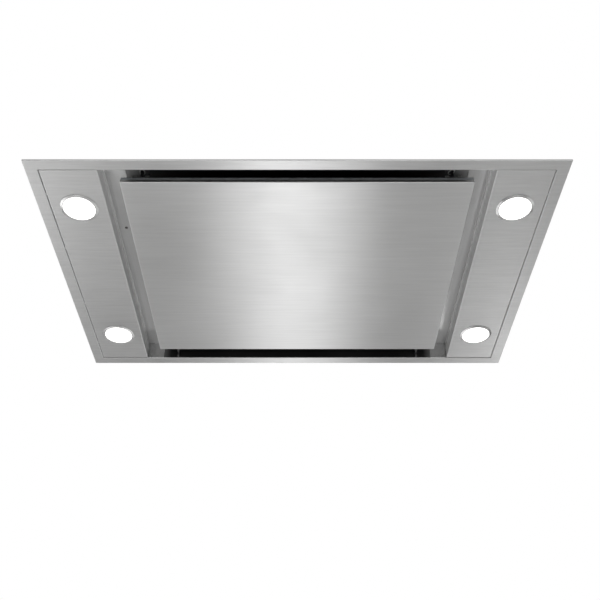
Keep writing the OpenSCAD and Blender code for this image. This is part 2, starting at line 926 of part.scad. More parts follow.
module at_lamps() {
  for (sx = [-1, 1], sy = [-1, 1])
    translate([sx * lamp_x, sy * lamp_y, z_face])
      children();
}

// Bezels: ring that slopes down from the panel to a lip under the lens, and a sleeve through the hole
module lamp_bezels() {
  sleeve_r = lamp_hole_r - run_gap;
  color("silver")
    at_lamps()
      rotate_extrude()
        difference() {
          union() {
            polygon([
              [lens_r - lens_lip, 0], [lens_r - lens_lip, -bezel_t], [lens_r + lens_lip, -bezel_t],
              [bezel_r, -bezel_edge], [bezel_r, 0]
            ]);
            translate([lens_r, -over])
              square([sleeve_r - lens_r, lamp_h / 3 + over]);
          }
          translate([lens_r - 2 * lens_lip, -bezel_t + lens_lip])
            square([2 * lens_lip, bezel_t]);
        }
}

// Frosted lenses behind the lips of the bezels
module lamp_lenses() {
  color("white")
    at_lamps()
      translate([0, 0, -bezel_t + lens_lip])
        cylinder(r = lens_r - pin_clear, h = lens_t);
}

// Lamp housings: cans with cooling fins
module lamp_housings() {
  low = -bezel_t + lens_lip + lens_t;
  can_top = lamp_h - low;
  color("lightgray")
    at_lamps()
      translate([0, 0, low]) {
        difference() {
          cylinder(r = lens_r - pin_clear, h = can_top);
          translate([0, 0, -over])
            cylinder(r1 = lens_r - can_wall, r2 = lens_r / 2, h = can_top / 2);
        }
        for (i = [0:fin_count - 1])
          rotate([0, 0, i * 360 / fin_count])
            translate([lens_r - can_wall, -fin_t / 2, lamp_h / 2])
              cube([fin_w + can_wall, fin_t, can_top - lamp_h / 2]);
      }
}

// Spring clips beside each lamp that press on the panel from above
module lamp_clips() {
  r0 = lamp_hole_r - run_gap;
  color("silver")
    at_lamps()
      for (turn = [45, 225])
        rotate([0, 0, turn])
          translate([r0, -lamp_clip_w / 2, trim_sheet]) {
            cube([lamp_clip_t, lamp_clip_w, lamp_h / 3]);
            cube([lamp_clip_l, lamp_clip_w, lamp_clip_t]);
            translate([lamp_clip_l, 0, 2 * lamp_clip_t])
              rotate([-90, 0, 0])
                cylinder(r = 2 * lamp_clip_t, h = lamp_clip_w);
          }
}

// Remote receiver: domed window in the left ledge with its housing above
module receiver() {
  color("#30201c")
    translate([receiver_x, receiver_y, z_ledge]) {
      translate([-window_r * 3, -window_r * 5, tray_sheet])
        cube([window_r * 6, window_r * 10, window_r * 4]);
      translate([0, 0, -window_r / 5])
        cylinder(r = window_r, h = tray_sheet + window_r / 2);
      intersection() {
        translate([0, 0, window_r])
          sphere(r = window_r * 1.6);
        translate([0, 0, -window_r])
          cylinder(r = window_r, h = window_r);
      }
    }
}

// Driver of the lamps, on top of the right ledge
module led_driver() {
  color("whitesmoke")
    translate([chamber_x + tray_sheet + driver_w / 2 + run_gap, 0, z_ledge + tray_sheet]) {
      linear_extrude(driver_h)
        round_rect(driver_w, driver_l, driver_w / 10);
      for (s = [-1, 1])
        translate([-driver_w / 4, s * (driver_l / 2 + driver_w / 6) - driver_w / 6, 0])
          cube([driver_w / 2, driver_w / 3, driver_h / 8]);
    }
}

// Long pressed bead with round ends, proud of the plane y = 0 towards +Y
module bead(len, r, proud) {
  translate([0, proud - r, 0]) {
    translate([-len / 2, 0, 0])
      rotate([0, 90, 0])
        cylinder(r = r, h = len);
    for (s = [-1, 1])
      translate([s * len / 2, 0, 0])
        sphere(r = r);
  }
}

// Places of the beads round the casing: each child is drawn on a wall's outer plane
module bead_places() {
  long_gap = (casing_h - z_rim) / 3;
  for (turn = [0, 180], row = [1, 2])
    rotate([0, 0, turn + 90])
      translate([0, casing_ox, z_rim + row * long_gap])
        children();
  for (sx = [-1, 1], row = [1, 2])
    rotate([0, 0, 180])
      translate([sx * casing_ox / 2, casing_oy, z_rim + row * long_gap])
        children();
  for (sx = [-1, 1], row = [1, 2])
    translate([sx * (casing_ox + collar_r) / 2, casing_oy, z_rim + row * long_gap])
      children();
}

// Galvanised casing: four walls with pressed beads and a flange round the top
module casing_wrap() {
  side_len = casing_ox - collar_r - collar_flange_w - bead_inset;
  color("lightslategray")
    difference() {
      union() {
        translate([0, 0, z_rim])
          walls(casing_x, casing_y, casing_sheet, casing_h - z_rim);
        bead_places()
          bead(side_len, bead_r, bead_out);
        translate([0, 0, casing_h - casing_sheet])
          linear_extrude(casing_sheet)
            difference() {
              square([2 * casing_ox, 2 * casing_oy], center = true);
              square([2 * (casing_x - top_flange_w), 2 * (casing_y - top_flange_w)], center = true);
            }
      }
      bead_places()
        bead(side_len, bead_r - casing_sheet, bead_out - casing_sheet);
      difference() {
        translate([-casing_x, -casing_y, z_rim - over])
          cube([2 * casing_x, 2 * casing_y, casing_h - z_rim - casing_sheet + over]);
        translate([0, 0, z_rim])
          walls(casing_x - bead_r, casing_y - bead_r, bead_r, casing_h);
      }
      translate([0, casing_y - over, duct_z])
        rotate([-90, 0, 0])
          cylinder(r = collar_in, h = casing_sheet + 2 * over);
      at_duct()
        at_collar_screws()
          translate([0, 0, -screw_grip - collar_base])
            cylinder(r = screw_r + pin_clear, h = screw_grip + collar_base + over);
      at_lid_screws()
        translate([0, 0, -screw_grip])
          cylinder(r = screw_r + pin_clear, h = screw_grip + over);
    }
}

// Screws along the edge of the lid, drawn on its top
module at_lid_screws() {
  ex = casing_x - top_flange_w / 2;
  ey = casing_y - top_flange_w / 2;
  for (sy = [-1, 1], share = [-1, -0.34, 0.34, 1])
    translate([share * ex, sy * ey, lid_top])
      children();
  for (sx = [-1, 1])
    translate([sx * ex, 0, lid_top])
      children();
}

// Lid of the casing with two crossed beads at each end
module casing_lid() {
  bead_len = casing_ox * 0.36;
  color("slategray")
    difference() {
      union() {
        translate([-casing_ox, -casing_oy, casing_h])
          cube([2 * casing_ox, 2 * casing_oy, casing_sheet]);
        at_lid_beads()
          bead(bead_len, bead_r, bead_out);
      }
      at_lid_beads()
        bead(bead_len, bead_r - casing_sheet, bead_out - casing_sheet);
      at_lid_screws()
        translate([0, 0, -2 * casing_sheet])
          cylinder(r = screw_r + pin_clear, h = 3 * casing_sheet);
    }
}

module at_lid_beads() {
  for (x = [-casing_ox * 0.62, 0], turn = [-30, 30])
    translate([x, casing_oy * 0.25, lid_top])
      rotate([0, 0, turn])
        rotate([90, 0, 0])
          children();
}

// Suspension hanger, a folded Z with a slot along X for a threaded rod
module hanger(sx, sy) {
  color("darkgray")
    translate([sx * (win_x - hanger_in_x), sy * (win_y - hanger_in_y), lid_top])
      mirror([sx < 0 ? 1 : 0, 0, 0]) {
        difference() {
          translate([-hanger_w / 2, -hanger_w / 2, hanger_h - hanger_t])
            cube([hanger_w, hanger_w, hanger_t]);
          for (s = [-1, 1])
            translate([s * (slot_l / 2 - slot_r), 0, hanger_h - hanger_t - over])
              cylinder(r = slot_r, h = hanger_t + 2 * over);
          translate([slot_r - slot_l / 2, -slot_r, hanger_h - hanger_t - over])
            cube([slot_l - 2 * slot_r, 2 * slot_r, hanger_t + 2 * over]);
        }
        translate([-hanger_w / 2, -hanger_w / 2, 0])
          cube([hanger_t, hanger_w, hanger_h]);
        difference() {
          translate([-hanger_w / 2 - hanger_foot, -hanger_w / 2, 0])
            cube([hanger_foot + hanger_t, hanger_w, hanger_t]);
          for (s = [-1, 1])
            translate([-hanger_w / 2 - hanger_foot / 2, s * hanger_w / 4, -over])
              cylinder(r = screw_r + pin_clear, h = hanger_t + 2 * over);
        }
      }
}

// Outline of the air space of the scroll, grown outwards by g, from four quarter arcs
module scroll_outline(g, mouth) {
  intersection() {
    circle(r = scroll_r1 + g);
    translate([-2 * scroll_r1, 0])
      square([4 * scroll_r1, 2 * scroll_r1]);
  }
  intersection() {
    translate([scroll_grow, 0])
      circle(r = scroll_r2 + g);
    translate([-2 * scroll_r2, -2 * scroll_r2])
      square([2 * scroll_r2 + scroll_grow, 2 * scroll_r2]);
  }
  intersection() {
    translate([scroll_grow, scroll_grow])
      circle(r = scroll_r3 + g);
    translate([scroll_grow, -2 * scroll_r3])
      square([2 * scroll_r3, 2 * scroll_r3 + scroll_grow]);
  }
  translate([throat_x0 - g, 0])
    square([outlet_w + 2 * g, throat_y + mouth]);
  square([throat_x1 + g, scroll_grow]);
}

module at_blower() {
  translate([blower_x, blower_y, 0])
    children();
}

// Lower scroll: floor with the inlet and the wall all round, open at the outlet
module scroll_base() {
  color("#5a5f63")
    at_blower()
      difference() {
        translate([0, 0, scroll_low])
          linear_extrude(scroll_h - scroll_wall)
            scroll_outline(scroll_wall, 0);
        translate([0, 0, scroll_low + scroll_wall])
          linear_extrude(scroll_h)
            scroll_outline(0, over);
        translate([0, 0, scroll_low - over])
          cylinder(r = inlet_r + bell_r, h = scroll_wall + 2 * over);
      }
}

// Upper scroll: cover with a lip over the wall and a seat for the motor
module scroll_cover() {
  color("#4f5458")
    at_blower()
      difference() {
        translate([0, 0, scroll_top - scroll_wall])
          linear_extrude(scroll_wall)
            scroll_outline(cover_lip, -cover_lip / 2);
        translate([0, 0, scroll_top - scroll_wall - over])
          cylinder(r = motor_r + run_gap, h = scroll_wall + 2 * over);
      }
}

// Bellmouth that leads air into the impeller
module inlet_cone() {
  z0 = scroll_low - cone_t;
  color("#3f4346")
    at_blower()
      translate([0, 0, z0])
        rotate_extrude() {
          translate([inlet_r + bell_r, 0])
            square([cone_flange, cone_t]);
          intersection() {
            translate([inlet_r + bell_r, bell_r])
              difference() {
                circle(r = bell_r);
                circle(r = bell_r - cone_t);
              }
            translate([inlet_r, 0])
              square([bell_r, bell_r]);
          }
          translate([inlet_r, bell_r])
            square([cone_t, bell_r / 3]);
        }
}

// Wire guard over the inlet
module inlet_guard() {
  outer = inlet_r + bell_r + cone_flange / 2;
  z0 = scroll_low - cone_t - guard_wire_r;
  color("darkgray")
    at_blower()
      translate([0, 0, z0]) {
        for (i = [1:guard_rings])
          rotate_extrude()
            translate([outer * i / guard_rings, 0])
              circle(r = guard_wire_r);
        for (turn = [0:60:300])
          rotate([0, 0, turn])
            translate([outer / guard_rings, 0, -guard_wire_r])
              rotate([0, 90, 0])
                cylinder(r = guard_rod_r, h = outer * (guard_rings - 1) / guard_rings);
      }
}

// Section of one forward-curved blade, radial at its root and leaning into the turn
module blade_section() {
  root_r = impeller_r - blade_depth;
  intersection() {
    difference() {
      circle(r = impeller_r - blade_t / 2);
      circle(r = root_r + blade_t / 2);
    }
    translate([root_r, blade_r])
      difference() {
        circle(r = blade_r + blade_t / 2);
        circle(r = blade_r - blade_t / 2);
      }
    translate([root_r, -blade_t])
      square([blade_r + blade_t, blade_r + blade_t]);
  }
}

// Impeller: blades between a ring and a back plate that is drawn in as a cup round the motor
module impeller() {
  root_r = impeller_r - blade_depth;
  cup_low = wheel_z1 - cup_depth;
  color("#26282a")
    at_blower() {
      for (i = [0:blade_count - 1])
        rotate([0, 0, i * 360 / blade_count])
          translate([0, 0, wheel_z0 + ring_h / 2])
            linear_extrude(impeller_h - ring_h)
              blade_section();
      translate([0, 0, wheel_z0])
        linear_extrude(ring_h)
          difference() {
            circle(r = impeller_r);
            circle(r = root_r);
          }
      rotate_extrude() {
        translate([cup_r, wheel_z1 - ring_h])
          square([impeller_r - cup_r, ring_h]);
        translate([cup_r, cup_low])
          square([cup_sheet, cup_depth]);
        translate([shaft_r + pin_clear, cup_low])
          square([cup_r + cup_sheet - shaft_r - pin_clear, cup_sheet]);
        translate([shaft_r + pin_clear, cup_low - hub_h + cup_sheet])
          square([hub_r - shaft_r, hub_h]);
      }
    }
}

// Shaft of the motor with a hub nut at its end
module motor_shaft() {
  cup_low = wheel_z1 - cup_depth;
  hub_low = cup_low - hub_h + cup_sheet;
  color("silver")
    at_blower() {
      translate([0, 0, hub_low - shaft_r])
        cylinder(r = shaft_r, h = motor_low - hub_low + shaft_r - run_gap);
      translate([0, 0, hub_low - shaft_r])
        cylinder(r = 2 * shaft_r, h = shaft_r, $fn = 6);
    }
}

// Motor: body with two end bells, cooling slots and a flange with three ears on the cover
module motor_body() {
  height = scroll_top - motor_low;
  color("dimgray")
    at_blower()
      difference() {
        union() {
          translate([0, 0, motor_low])
            cylinder(r1 = motor_r - bell_r, r2 = motor_r, h = bell_r);
          translate([0, 0, motor_low + bell_r])
            cylinder(r = motor_r, h = height - bell_r);
          translate([0, 0, scroll_top])
            cylinder(r = motor_flange_r, h = scroll_wall);
          translate([0, 0, scroll_top])
            cylinder(r1 = motor_r, r2 = motor_r - bell_r, h = bell_r);
        }
        for (i = [0:fin_count - 1])
          rotate([0, 0, i * 360 / fin_count])
            translate([motor_r, 0, motor_low + height / 2])
              cube([bell_r, fin_w, height / 3], center = true);
        for (turn = [0, 120, 240])
          rotate([0, 0, turn])
            translate([(motor_r + motor_flange_r) / 2, 0, scroll_top - over])
              cylinder(r = screw_r, h = scroll_wall + 2 * over);
      }
}

// Rubber mounts between the scroll cover and its brackets
module rubber_mounts() {
  color("#181818")
    at_blower()
      for (p = mount_places)
        translate([p[0], p[1], scroll_top])
          cylinder(r = mount_r, h = mount_h);
}

// Hat brackets that hang the blower from the lid
module blower_brackets() {
  h = hang_gap - mount_h;
  color("darkgray")
    at_blower()
      for (p = mount_places)
        translate([p[0], p[1], scroll_top + mount_h]) {
          translate([-mount_r, -mount_r, 0])
            cube([2 * mount_r, 2 * mount_r, bracket_sheet]);
          for (s = [-1, 1]) {
            translate([s * (mount_r - bracket_sheet / 2) - bracket_sheet / 2, -mount_r, 0])
              cube([bracket_sheet, 2 * mount_r, h]);
            translate([s * (mount_r + bracket_foot_w / 4) - bracket_foot_w / 4, -mount_r, h - bracket_sheet])
              cube([bracket_foot_w / 2, 2 * mount_r, bracket_sheet]);
          }
        }
}

// Run capacitor of the motor in its clip on the scroll cover
module capacitor() {
  color("whitesmoke")
    at_blower()
      translate([scroll_r1 * 0.3, -scroll_r1 * 0.86, scroll_top + can_r])
        rotate([0, 90, 0]) {
          cylinder(r = can_r - over, h = can_l, center = true);
          cylinder(r = can_r, h = can_l / 3, center = true);
        }
}

// Duct piece that turns the oblong outlet of the scroll into a round one
module outlet_adapter() {
  y0 = blower_y + throat_y;
  y1 = casing_y;
  color("#5a5f63")
    difference() {
      adapter_body(y0, y1, scroll_wall, 0);
      adapter_body(y0, y1, 0, over);
    }
}

module adapter_body(y0, y1, g, past) {
  hull() {
    translate([-outlet_w / 2 - g, y0 - past, scroll_low + scroll_wall - g])
      cube([outlet_w + 2 * g, scroll_wall, scroll_h - 2 * scroll_wall + 2 * g]);
    translate([0, y1 - scroll_wall, duct_z])
      rotate([-90, 0, 0])
        cylinder(r = collar_in - scroll_wall + g, h = scroll_wall + past, $fn = 40);
  }
}

module at_duct() {
  translate([0, casing_oy, duct_z])
    rotate([-90, 0, 0])
      children();
}

module at_collar_screws() {
  for (i = [0:5])
    rotate([0, 0, 30 + i * 60])
      translate([collar_r + collar_flange_w / 2, 0, collar_base])
        children();
}

// Duct collar: flange, tube with a rolled bead, a rim that stops the flaps and seats for their pin
module duct_collar() {
  color("#3a3d40")
    at_duct()
      difference() {
        rotate_extrude() {
          translate([collar_in, 0])
            square([collar_wall + collar_flange_w, collar_base]);
          translate([collar_in, 0])
            square([collar_wall, collar_len]);
          translate([collar_in - rim_w, flap_in - flap_t / 2 - run_gap - rim_t])
            square([rim_w + collar_wall, rim_t]);
        }
        at_collar_screws()
          translate([0, 0, -collar_base - over])
            cylinder(r = screw_r + pin_clear, h = collar_base + 2 * over);
        translate([0, -pin_half - pin_clear, flap_in])
          rotate([-90, 0, 0])
            cylinder(r = flap_pin_r + pin_clear, h = 2 * (pin_half + pin_clear));
      }
}

// Upright pin across the collar that both flaps turn on
module flap_pin() {
  color("silver")
    translate([0, flap_y, duct_z - pin_half])
      cylinder(r = flap_pin_r, h = 2 * pin_half);
}

// Half-round flap on the right of the pin; its knuckles are the even or the odd ones
module flap(first) {
  step = 2 * (flap_r - 3 * knuckle_r) / knuckle_count;
  low = -step * knuckle_count / 2;
  difference() {
    union() {
      intersection() {
        rotate([-90, 0, 0])
          cylinder(r = flap_r, h = flap_t, center = true);
        translate([flap_root, -flap_t, -flap_r])
          cube([flap_r, 2 * flap_t, 2 * flap_r]);
      }
      for (i = [first:2:knuckle_count - 1])
        translate([0, 0, low + i * step + run_gap]) {
          cylinder(r = knuckle_r, h = step - 2 * run_gap);
          translate([0, -flap_t / 2, 0])
            cube([flap_root + flap_t, flap_t, step - 2 * run_gap]);
        }
      for (s = [-1, 1])
        translate([flap_r * 0.45, flap_t / 2, s * flap_r * 0.4])
          rotate([-90, 0, 0])
            cylinder(r = flap_r * 0.16, h = flap_t / 3);
    }
    translate([0, 0, -flap_r])
      cylinder(r = flap_pin_r + pin_clear, h = 2 * flap_r);
  }
}

module flap_left() {
  color("#6a6d70")
    translate([0, flap_y, duct_z])
      mirror([1, 0, 0])
        flap(0);
}

module flap_right() {
  color("#6a6d70")
    translate([0, flap_y, duct_z])
      flap(1);
}

// Control box on the lid: open tray with feet
module control_box() {
  color("#d8d8d4")
    translate([box_x, box_y, lid_top]) {
      difference() {
        linear_extrude(box_h - cover_h)
          round_rect(box_l, box_d, box_r);
        translate([0, 0, box_wall])
          linear_extrude(box_h)
            round_rect(box_l - 2 * box_wall, box_d - 2 * box_wall, box_r - box_wall);
        translate([box_l / 2 - box_wall - over, 0, (box_h - cover_h) / 2])
          rotate([0, 90, 0])
            cylinder(r = gland_thread_r, h = box_wall + 2 * over);
      }
      for (sx = [-1, 1], sy = [-1, 1])
        translate([sx * box_l / 4, sy * (box_d / 2 + box_r / 2), box_wall / 2])
          cube([2 * box_r, 2 * box_r, box_wall], center = true);
    }
}

// Cover of the control box with a skirt edge, two screws and cooling slots
module control_cover() {
  slots = 9;
  color("#c8c8c4")
    translate([box_x, box_y, lid_top + box_h - cover_h])
      difference() {
        linear_extrude(cover_h)
          round_rect(box_l, box_d, box_r);
        translate([0, 0, -box_wall])
          linear_extrude(cover_h)
            round_rect(box_l - 2 * box_wall, box_d - 2 * box_wall, box_r - box_wall);
        for (i = [0:slots - 1])
          translate([(i - (slots - 1) / 2) * box_r * 2, 0, cover_h])
            cube([box_r / 2, box_d / 2, 3 * box_wall], center = true);
      }
}

// Cable gland in the end of the control box: seat, hexagon, dome nut and bore
module cable_gland() {
  seat_x = box_x + box_l / 2;
  color("#2a2a2a")
    translate([seat_x, box_y, lid_top + (box_h - cover_h) / 2])
      rotate([0, 90, 0])
        difference() {
          union() {
            translate([0, 0, -box_wall - gland_body_r / 2])
              cylinder(r = gland_thread_r - pin_clear, h = box_wall + gland_body_r / 2);
            cylinder(r = gland_hex_r, h = gland_body_r / 2, $fn = 6);
            translate([0, 0, gland_body_r / 2])
              cylinder(r = gland_body_r, h = gland_body_r);
            translate([0, 0, 1.5 * gland_body_r])
              cylinder(r1 = gland_body_r, r2 = gland_bore_r + box_wall, h = gland_body_r / 2);
          }
          translate([0, 0, -2 * gland_body_r])
            cylinder(r = gland_bore_r, h = 5 * gland_body_r);
        }
}

module lid_screws() {
  color("gainsboro")
    at_lid_screws()
      pan_screw();
}

module collar_screws() {
  color("gainsboro")
    at_duct()
      at_collar_screws()
        pan_screw();
}

trim_frame();
on_side(left) lamp_panel();  // lamp_panel_left
on_side(right) lamp_panel();  // lamp_panel_right
on_side(left) side_tray(true);  // side_tray_left
on_side(right) side_tray(false);  // side_tray_right
liner();
filter_guides();
filter_pocket();
on_side(left) filter_springs();  // filter_springs_left
on_side(right) filter_springs();  // filter_springs_right
on_side(left) filter_frame();  // filter_frame_left
on_side(right) filter_frame();  // filter_frame_right
on_side(left) filter_mesh();  // filter_mesh_left
on_side(right) filter_mesh();  // filter_mesh_right
on_side(left) filter_handle();  // filter_handle_left
on_side(right) filter_handle();  // filter_handle_right
door_skin();
door_back();
door_stiffeners();
hinge_brackets();
hinge_pins();
hinge_arms();
catch_plates();
catch_clips();
stud_brackets();
catch_studs();
lamp_bezels();
lamp_lenses();
lamp_housings();
lamp_clips();
receiver();
led_driver();
casing_wrap();
casing_lid();
hanger(left, -1);  // hanger_near_left
hanger(right, -1);  // hanger_near_right
hanger(left, 1);  // hanger_far_left
hanger(right, 1);  // hanger_far_right
scroll_base();
scroll_cover();
inlet_cone();
inlet_guard();
impeller();
motor_shaft();
motor_body();
rubber_mounts();
blower_brackets();
capacitor();
outlet_adapter();
duct_collar();
flap_pin();
flap_left();
flap_right();
control_box();
control_cover();
cable_gland();
lid_screws();
collar_screws();
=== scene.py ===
"""Looks, fasteners, stage and camera of a ceiling range hood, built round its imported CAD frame."""

import math

import bmesh
import bpy
from mathutils import Matrix, Vector


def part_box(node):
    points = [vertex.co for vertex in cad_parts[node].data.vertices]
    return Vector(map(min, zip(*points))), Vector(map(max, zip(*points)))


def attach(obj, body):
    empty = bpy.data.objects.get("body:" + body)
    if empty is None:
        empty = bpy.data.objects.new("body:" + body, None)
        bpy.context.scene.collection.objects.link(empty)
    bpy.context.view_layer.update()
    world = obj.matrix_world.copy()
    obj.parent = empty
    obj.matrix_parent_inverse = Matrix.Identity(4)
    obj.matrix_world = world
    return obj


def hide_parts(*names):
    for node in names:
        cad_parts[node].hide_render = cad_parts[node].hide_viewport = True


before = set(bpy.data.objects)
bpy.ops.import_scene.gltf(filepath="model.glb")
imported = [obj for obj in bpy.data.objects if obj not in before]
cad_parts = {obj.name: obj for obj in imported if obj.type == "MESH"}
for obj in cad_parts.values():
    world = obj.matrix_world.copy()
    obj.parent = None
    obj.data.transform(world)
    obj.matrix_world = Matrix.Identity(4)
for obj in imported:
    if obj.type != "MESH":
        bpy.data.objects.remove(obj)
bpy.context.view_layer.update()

bl_info = {
    "name": "Ceiling range hood",
    "version": (1, 0, 0),
    "blender": (4, 5, 0),
    "location": "3D View > Sidebar > Range hood",
    "description": "Finishes, fasteners, stage and camera of a ceiling range hood",
    "category": "Object",
}

MM = 0.001


# Settings

def colour(label, about, value):
    return bpy.props.FloatVectorProperty(
        name=label, description=about, default=value, size=3, min=0, max=1, subtype="COLOR_GAMMA"
    )


def length(label, about, value):
    return bpy.props.FloatProperty(
        name=label, description=about, default=value, min=0, subtype="DISTANCE", unit="LENGTH"
    )


def share(label, about, value):
    return bpy.props.FloatProperty(
        name=label, description=about, default=value, min=0, max=1, subtype="FACTOR"
    )


def number(label, about, value):
    return bpy.props.FloatProperty(name=label, description=about, default=value)


class HoodFinishes(bpy.types.PropertyGroup):
    steel: colour("Steel", "Brushed steel of the trim frame and lamp panels", (0.80, 0.80, 0.80))
    door_steel: colour("Door steel", "Brushed steel of the door panel", (0.80, 0.80, 0.80))
    tray_steel: colour("Tray steel", "Brushed steel of the side ledges", (0.82, 0.82, 0.82))
    steel_rough: share("Steel roughness", "Roughness along the grain of the steel", 0.34)
    tray_rough: share("Tray roughness", "Roughness along the grain of the side ledges", 0.17)
    steel_grain: share("Grain direction", "How much more the steel scatters across its grain", 0.75)
    black: colour("Chamber paint", "Black of the chamber and filter guides", (0.075, 0.075, 0.078))
    galvanised: colour("Galvanised", "Zinc coating of the casing", (0.66, 0.675, 0.69))
    plated: colour("Zinc plating", "Plating of screws, hangers and hinges", (0.70, 0.705, 0.70))
    aluminium: colour("Aluminium", "Frames and mesh of the grease filters", (0.76, 0.765, 0.77))
    white_plastic: colour("White plastic", "Control box and lamp driver", (0.86, 0.86, 0.845))
    grey_plastic: colour("Grey plastic", "Scroll, duct piece and flaps", (0.36, 0.37, 0.38))
    black_plastic: colour("Black plastic", "Duct collar, impeller and gland", (0.13, 0.13, 0.135))
    lamp_glow: number("Lamp strength", "Emission of the lit lenses", 1.6)


class HoodStage(bpy.types.PropertyGroup):
    camera_back: length("Camera distance", "Distance of the camera towards the cook", 1.163)
    camera_drop: length("Camera drop", "Height of the camera below the ceiling", 0.963)
    camera_pitch: bpy.props.FloatProperty(
        name="Camera pitch", description="How far the camera looks up",
        default=math.radians(37.9), subtype="ANGLE",
    )
    lens: number("Lens", "Focal length in millimetres on a 36 mm sensor", 46.8)
    lens_shift: number("Lens shift", "Sideways shift of the lens", 0.0047)
    floor_drop: length("Floor", "Height of the ceiling above the floor", 2.2)
    ceiling_span: length("Ceiling", "Width and depth of the ceiling shown round the hood", 2.6)
    floor_span: length("Floor span", "Width and depth of the floor", 14.0)
    fill_light: number("Fill light", "Strength of the white surroundings as a light", 0.345)
    floor_tone: colour("Floor tone", "Pale floor of the studio", (0.86, 0.86, 0.855))


# Building blocks of the materials

def new_group(name, inputs, outputs):
    """A shader group with float inputs, a dict of their defaults, and typed outputs."""
    tree = bpy.data.node_groups.new(name, "ShaderNodeTree")
    for label, value in inputs.items():
        socket = tree.interface.new_socket(label, in_out="INPUT", socket_type="NodeSocketFloat")
        socket.default_value = value
    for label, kind in outputs.items():
        tree.interface.new_socket(label, in_out="OUTPUT", socket_type="NodeSocket" + kind)
    return tree, put(tree, "NodeGroupInput"), put(tree, "NodeGroupOutput")


def put(tree, kind, values=None, **settings):
    """A node with its settings, and its unlinked sockets' values by name or number."""
    node = tree.nodes.new(kind if kind.startswith("NodeGroup") else "ShaderNode" + kind)
    for key, value in settings.items():
        setattr(node, key, value)
    for key, value in (values or {}).items():
        node.inputs[key].default_value = value
    return node


def join(tree, source, target, out=0, into=0):
    tree.links.new(source.outputs[out], target.inputs[into])
    return target


def maths(tree, operation, first, second):
    """A Math node of two terms, each a socket or a number."""
    node = put(tree, "Math", operation=operation)
    for place, term in enumerate((first, second)):
        if isinstance(term, bpy.types.NodeSocket):
            tree.links.new(term, node.inputs[place])
        else:
            node.inputs[place].default_value = term
    return node.outputs[0]


def spread(tree, value, low, high, to_low=0.0, to_high=1.0):
    """Maps a socket from one range to another, clamped."""
    ends = {"From Min": low, "From Max": high, "To Min": to_low, "To Max": to_high}
    node = put(tree, "MapRange", ends)
    tree.links.new(value, node.inputs["Value"])
    return node.outputs["Result"]


def blend_colours(tree, factor, first, second):
    """Mixes two colours, each a socket or an RGB triple, by a socket."""
    node = put(tree, "Mix", data_type="RGBA")
    tree.links.new(factor, node.inputs["Factor"])
    for place, term in ((6, first), (7, second)):
        if isinstance(term, bpy.types.NodeSocket):
            tree.links.new(term, node.inputs[place])
        else:
            node.inputs[place].default_value = (*term, 1)
    return node.outputs[2]


def object_coords(tree):
    return put(tree, "TexCoord").outputs["Object"]


def noise_at(tree, size, detail, rough=0.5):
    """Noise on Object coordinates."""
    node = put(tree, "TexNoise", {"Scale": size, "Detail": detail, "Roughness": rough})
    tree.links.new(object_coords(tree), node.inputs["Vector"])
    return node.outputs[0]


def face_axis(tree, axis):
    """How squarely a face points along one axis, from 0 to 1."""
    split = put(tree, "SeparateXYZ")
    tree.links.new(put(tree, "NewGeometry").outputs["True Normal"], split.inputs[0])
    return maths(tree, "ABSOLUTE", split.outputs[axis], 0)


def brushed_grain():
    """Streaks along X, or along Y, and upright on faces that point along X, as on a folded sheet."""
    tree, given, out = new_group(
        "Brushed grain", {"Across": 620.0, "Along": 9.0, "Along Y": 0.0},
        {"Streaks": "Float", "Fine": "Float"},
    )
    split = put(tree, "SeparateXYZ")
    tree.links.new(object_coords(tree), split.inputs[0])
    coords = {}
    for label, order in (("plain", (0, 1, 2)), ("swapped", (1, 0, 2))):
        place = put(tree, "CombineXYZ")
        for into, out_of in enumerate(order):
            join(tree, split, place, out_of, into)
        coords[label] = place
    turned = put(tree, "Mix", data_type="VECTOR")
    join(tree, given, turned, "Along Y", 0)
    join(tree, coords["plain"], turned, 0, 4)
    join(tree, coords["swapped"], turned, 0, 5)
    upright = spread(tree, face_axis(tree, 0), 0.65, 0.75)
    for label, factor, detail in (("Streaks", 0.36, 3.0), ("Fine", 1.6, 1.0)):
        across = maths(tree, "MULTIPLY", given.outputs["Across"], factor)
        found = []
        for order in (("Along", 0, 0), (0, 0, "Along")):
            scale = put(tree, "CombineXYZ")
            for place, term in enumerate(order):
                tree.links.new(given.outputs[term] if term else across, scale.inputs[place])
            stretched = put(tree, "VectorMath", operation="MULTIPLY")
            join(tree, turned, stretched, 1, 0)
            join(tree, scale, stretched, 0, 1)
            node = put(tree, "TexNoise", {"Scale": 1.0, "Detail": detail, "Roughness": 0.6})
            join(tree, stretched, node, 0, "Vector")
            found.append(node.outputs[0])
        mix = put(tree, "Mix")
        tree.links.new(upright, mix.inputs[0])
        tree.links.new(found[0], mix.inputs[2])
        tree.links.new(found[1], mix.inputs[3])
        join(tree, mix, out, 0, label)
    return tree


def crevice():
    """Painted shade for narrow seams: how open the surface is to the room, from 0 in a narrow seam to
    1.
    """
    tree, given, out = new_group("Painted seam shade", {"Reach": 0.004, "Depth": 0.6}, {"Shade": "Float"})
    open_share = put(tree, "AmbientOcclusion", samples=6)
    join(tree, given, open_share, "Reach", "Distance")
    closed = maths(tree, "SUBTRACT", 1.0, open_share.outputs["AO"])
    dark = maths(tree, "MULTIPLY", closed, given.outputs["Depth"])
    tree.links.new(maths(tree, "SUBTRACT", 1.0, dark), out.inputs["Shade"])
    return tree


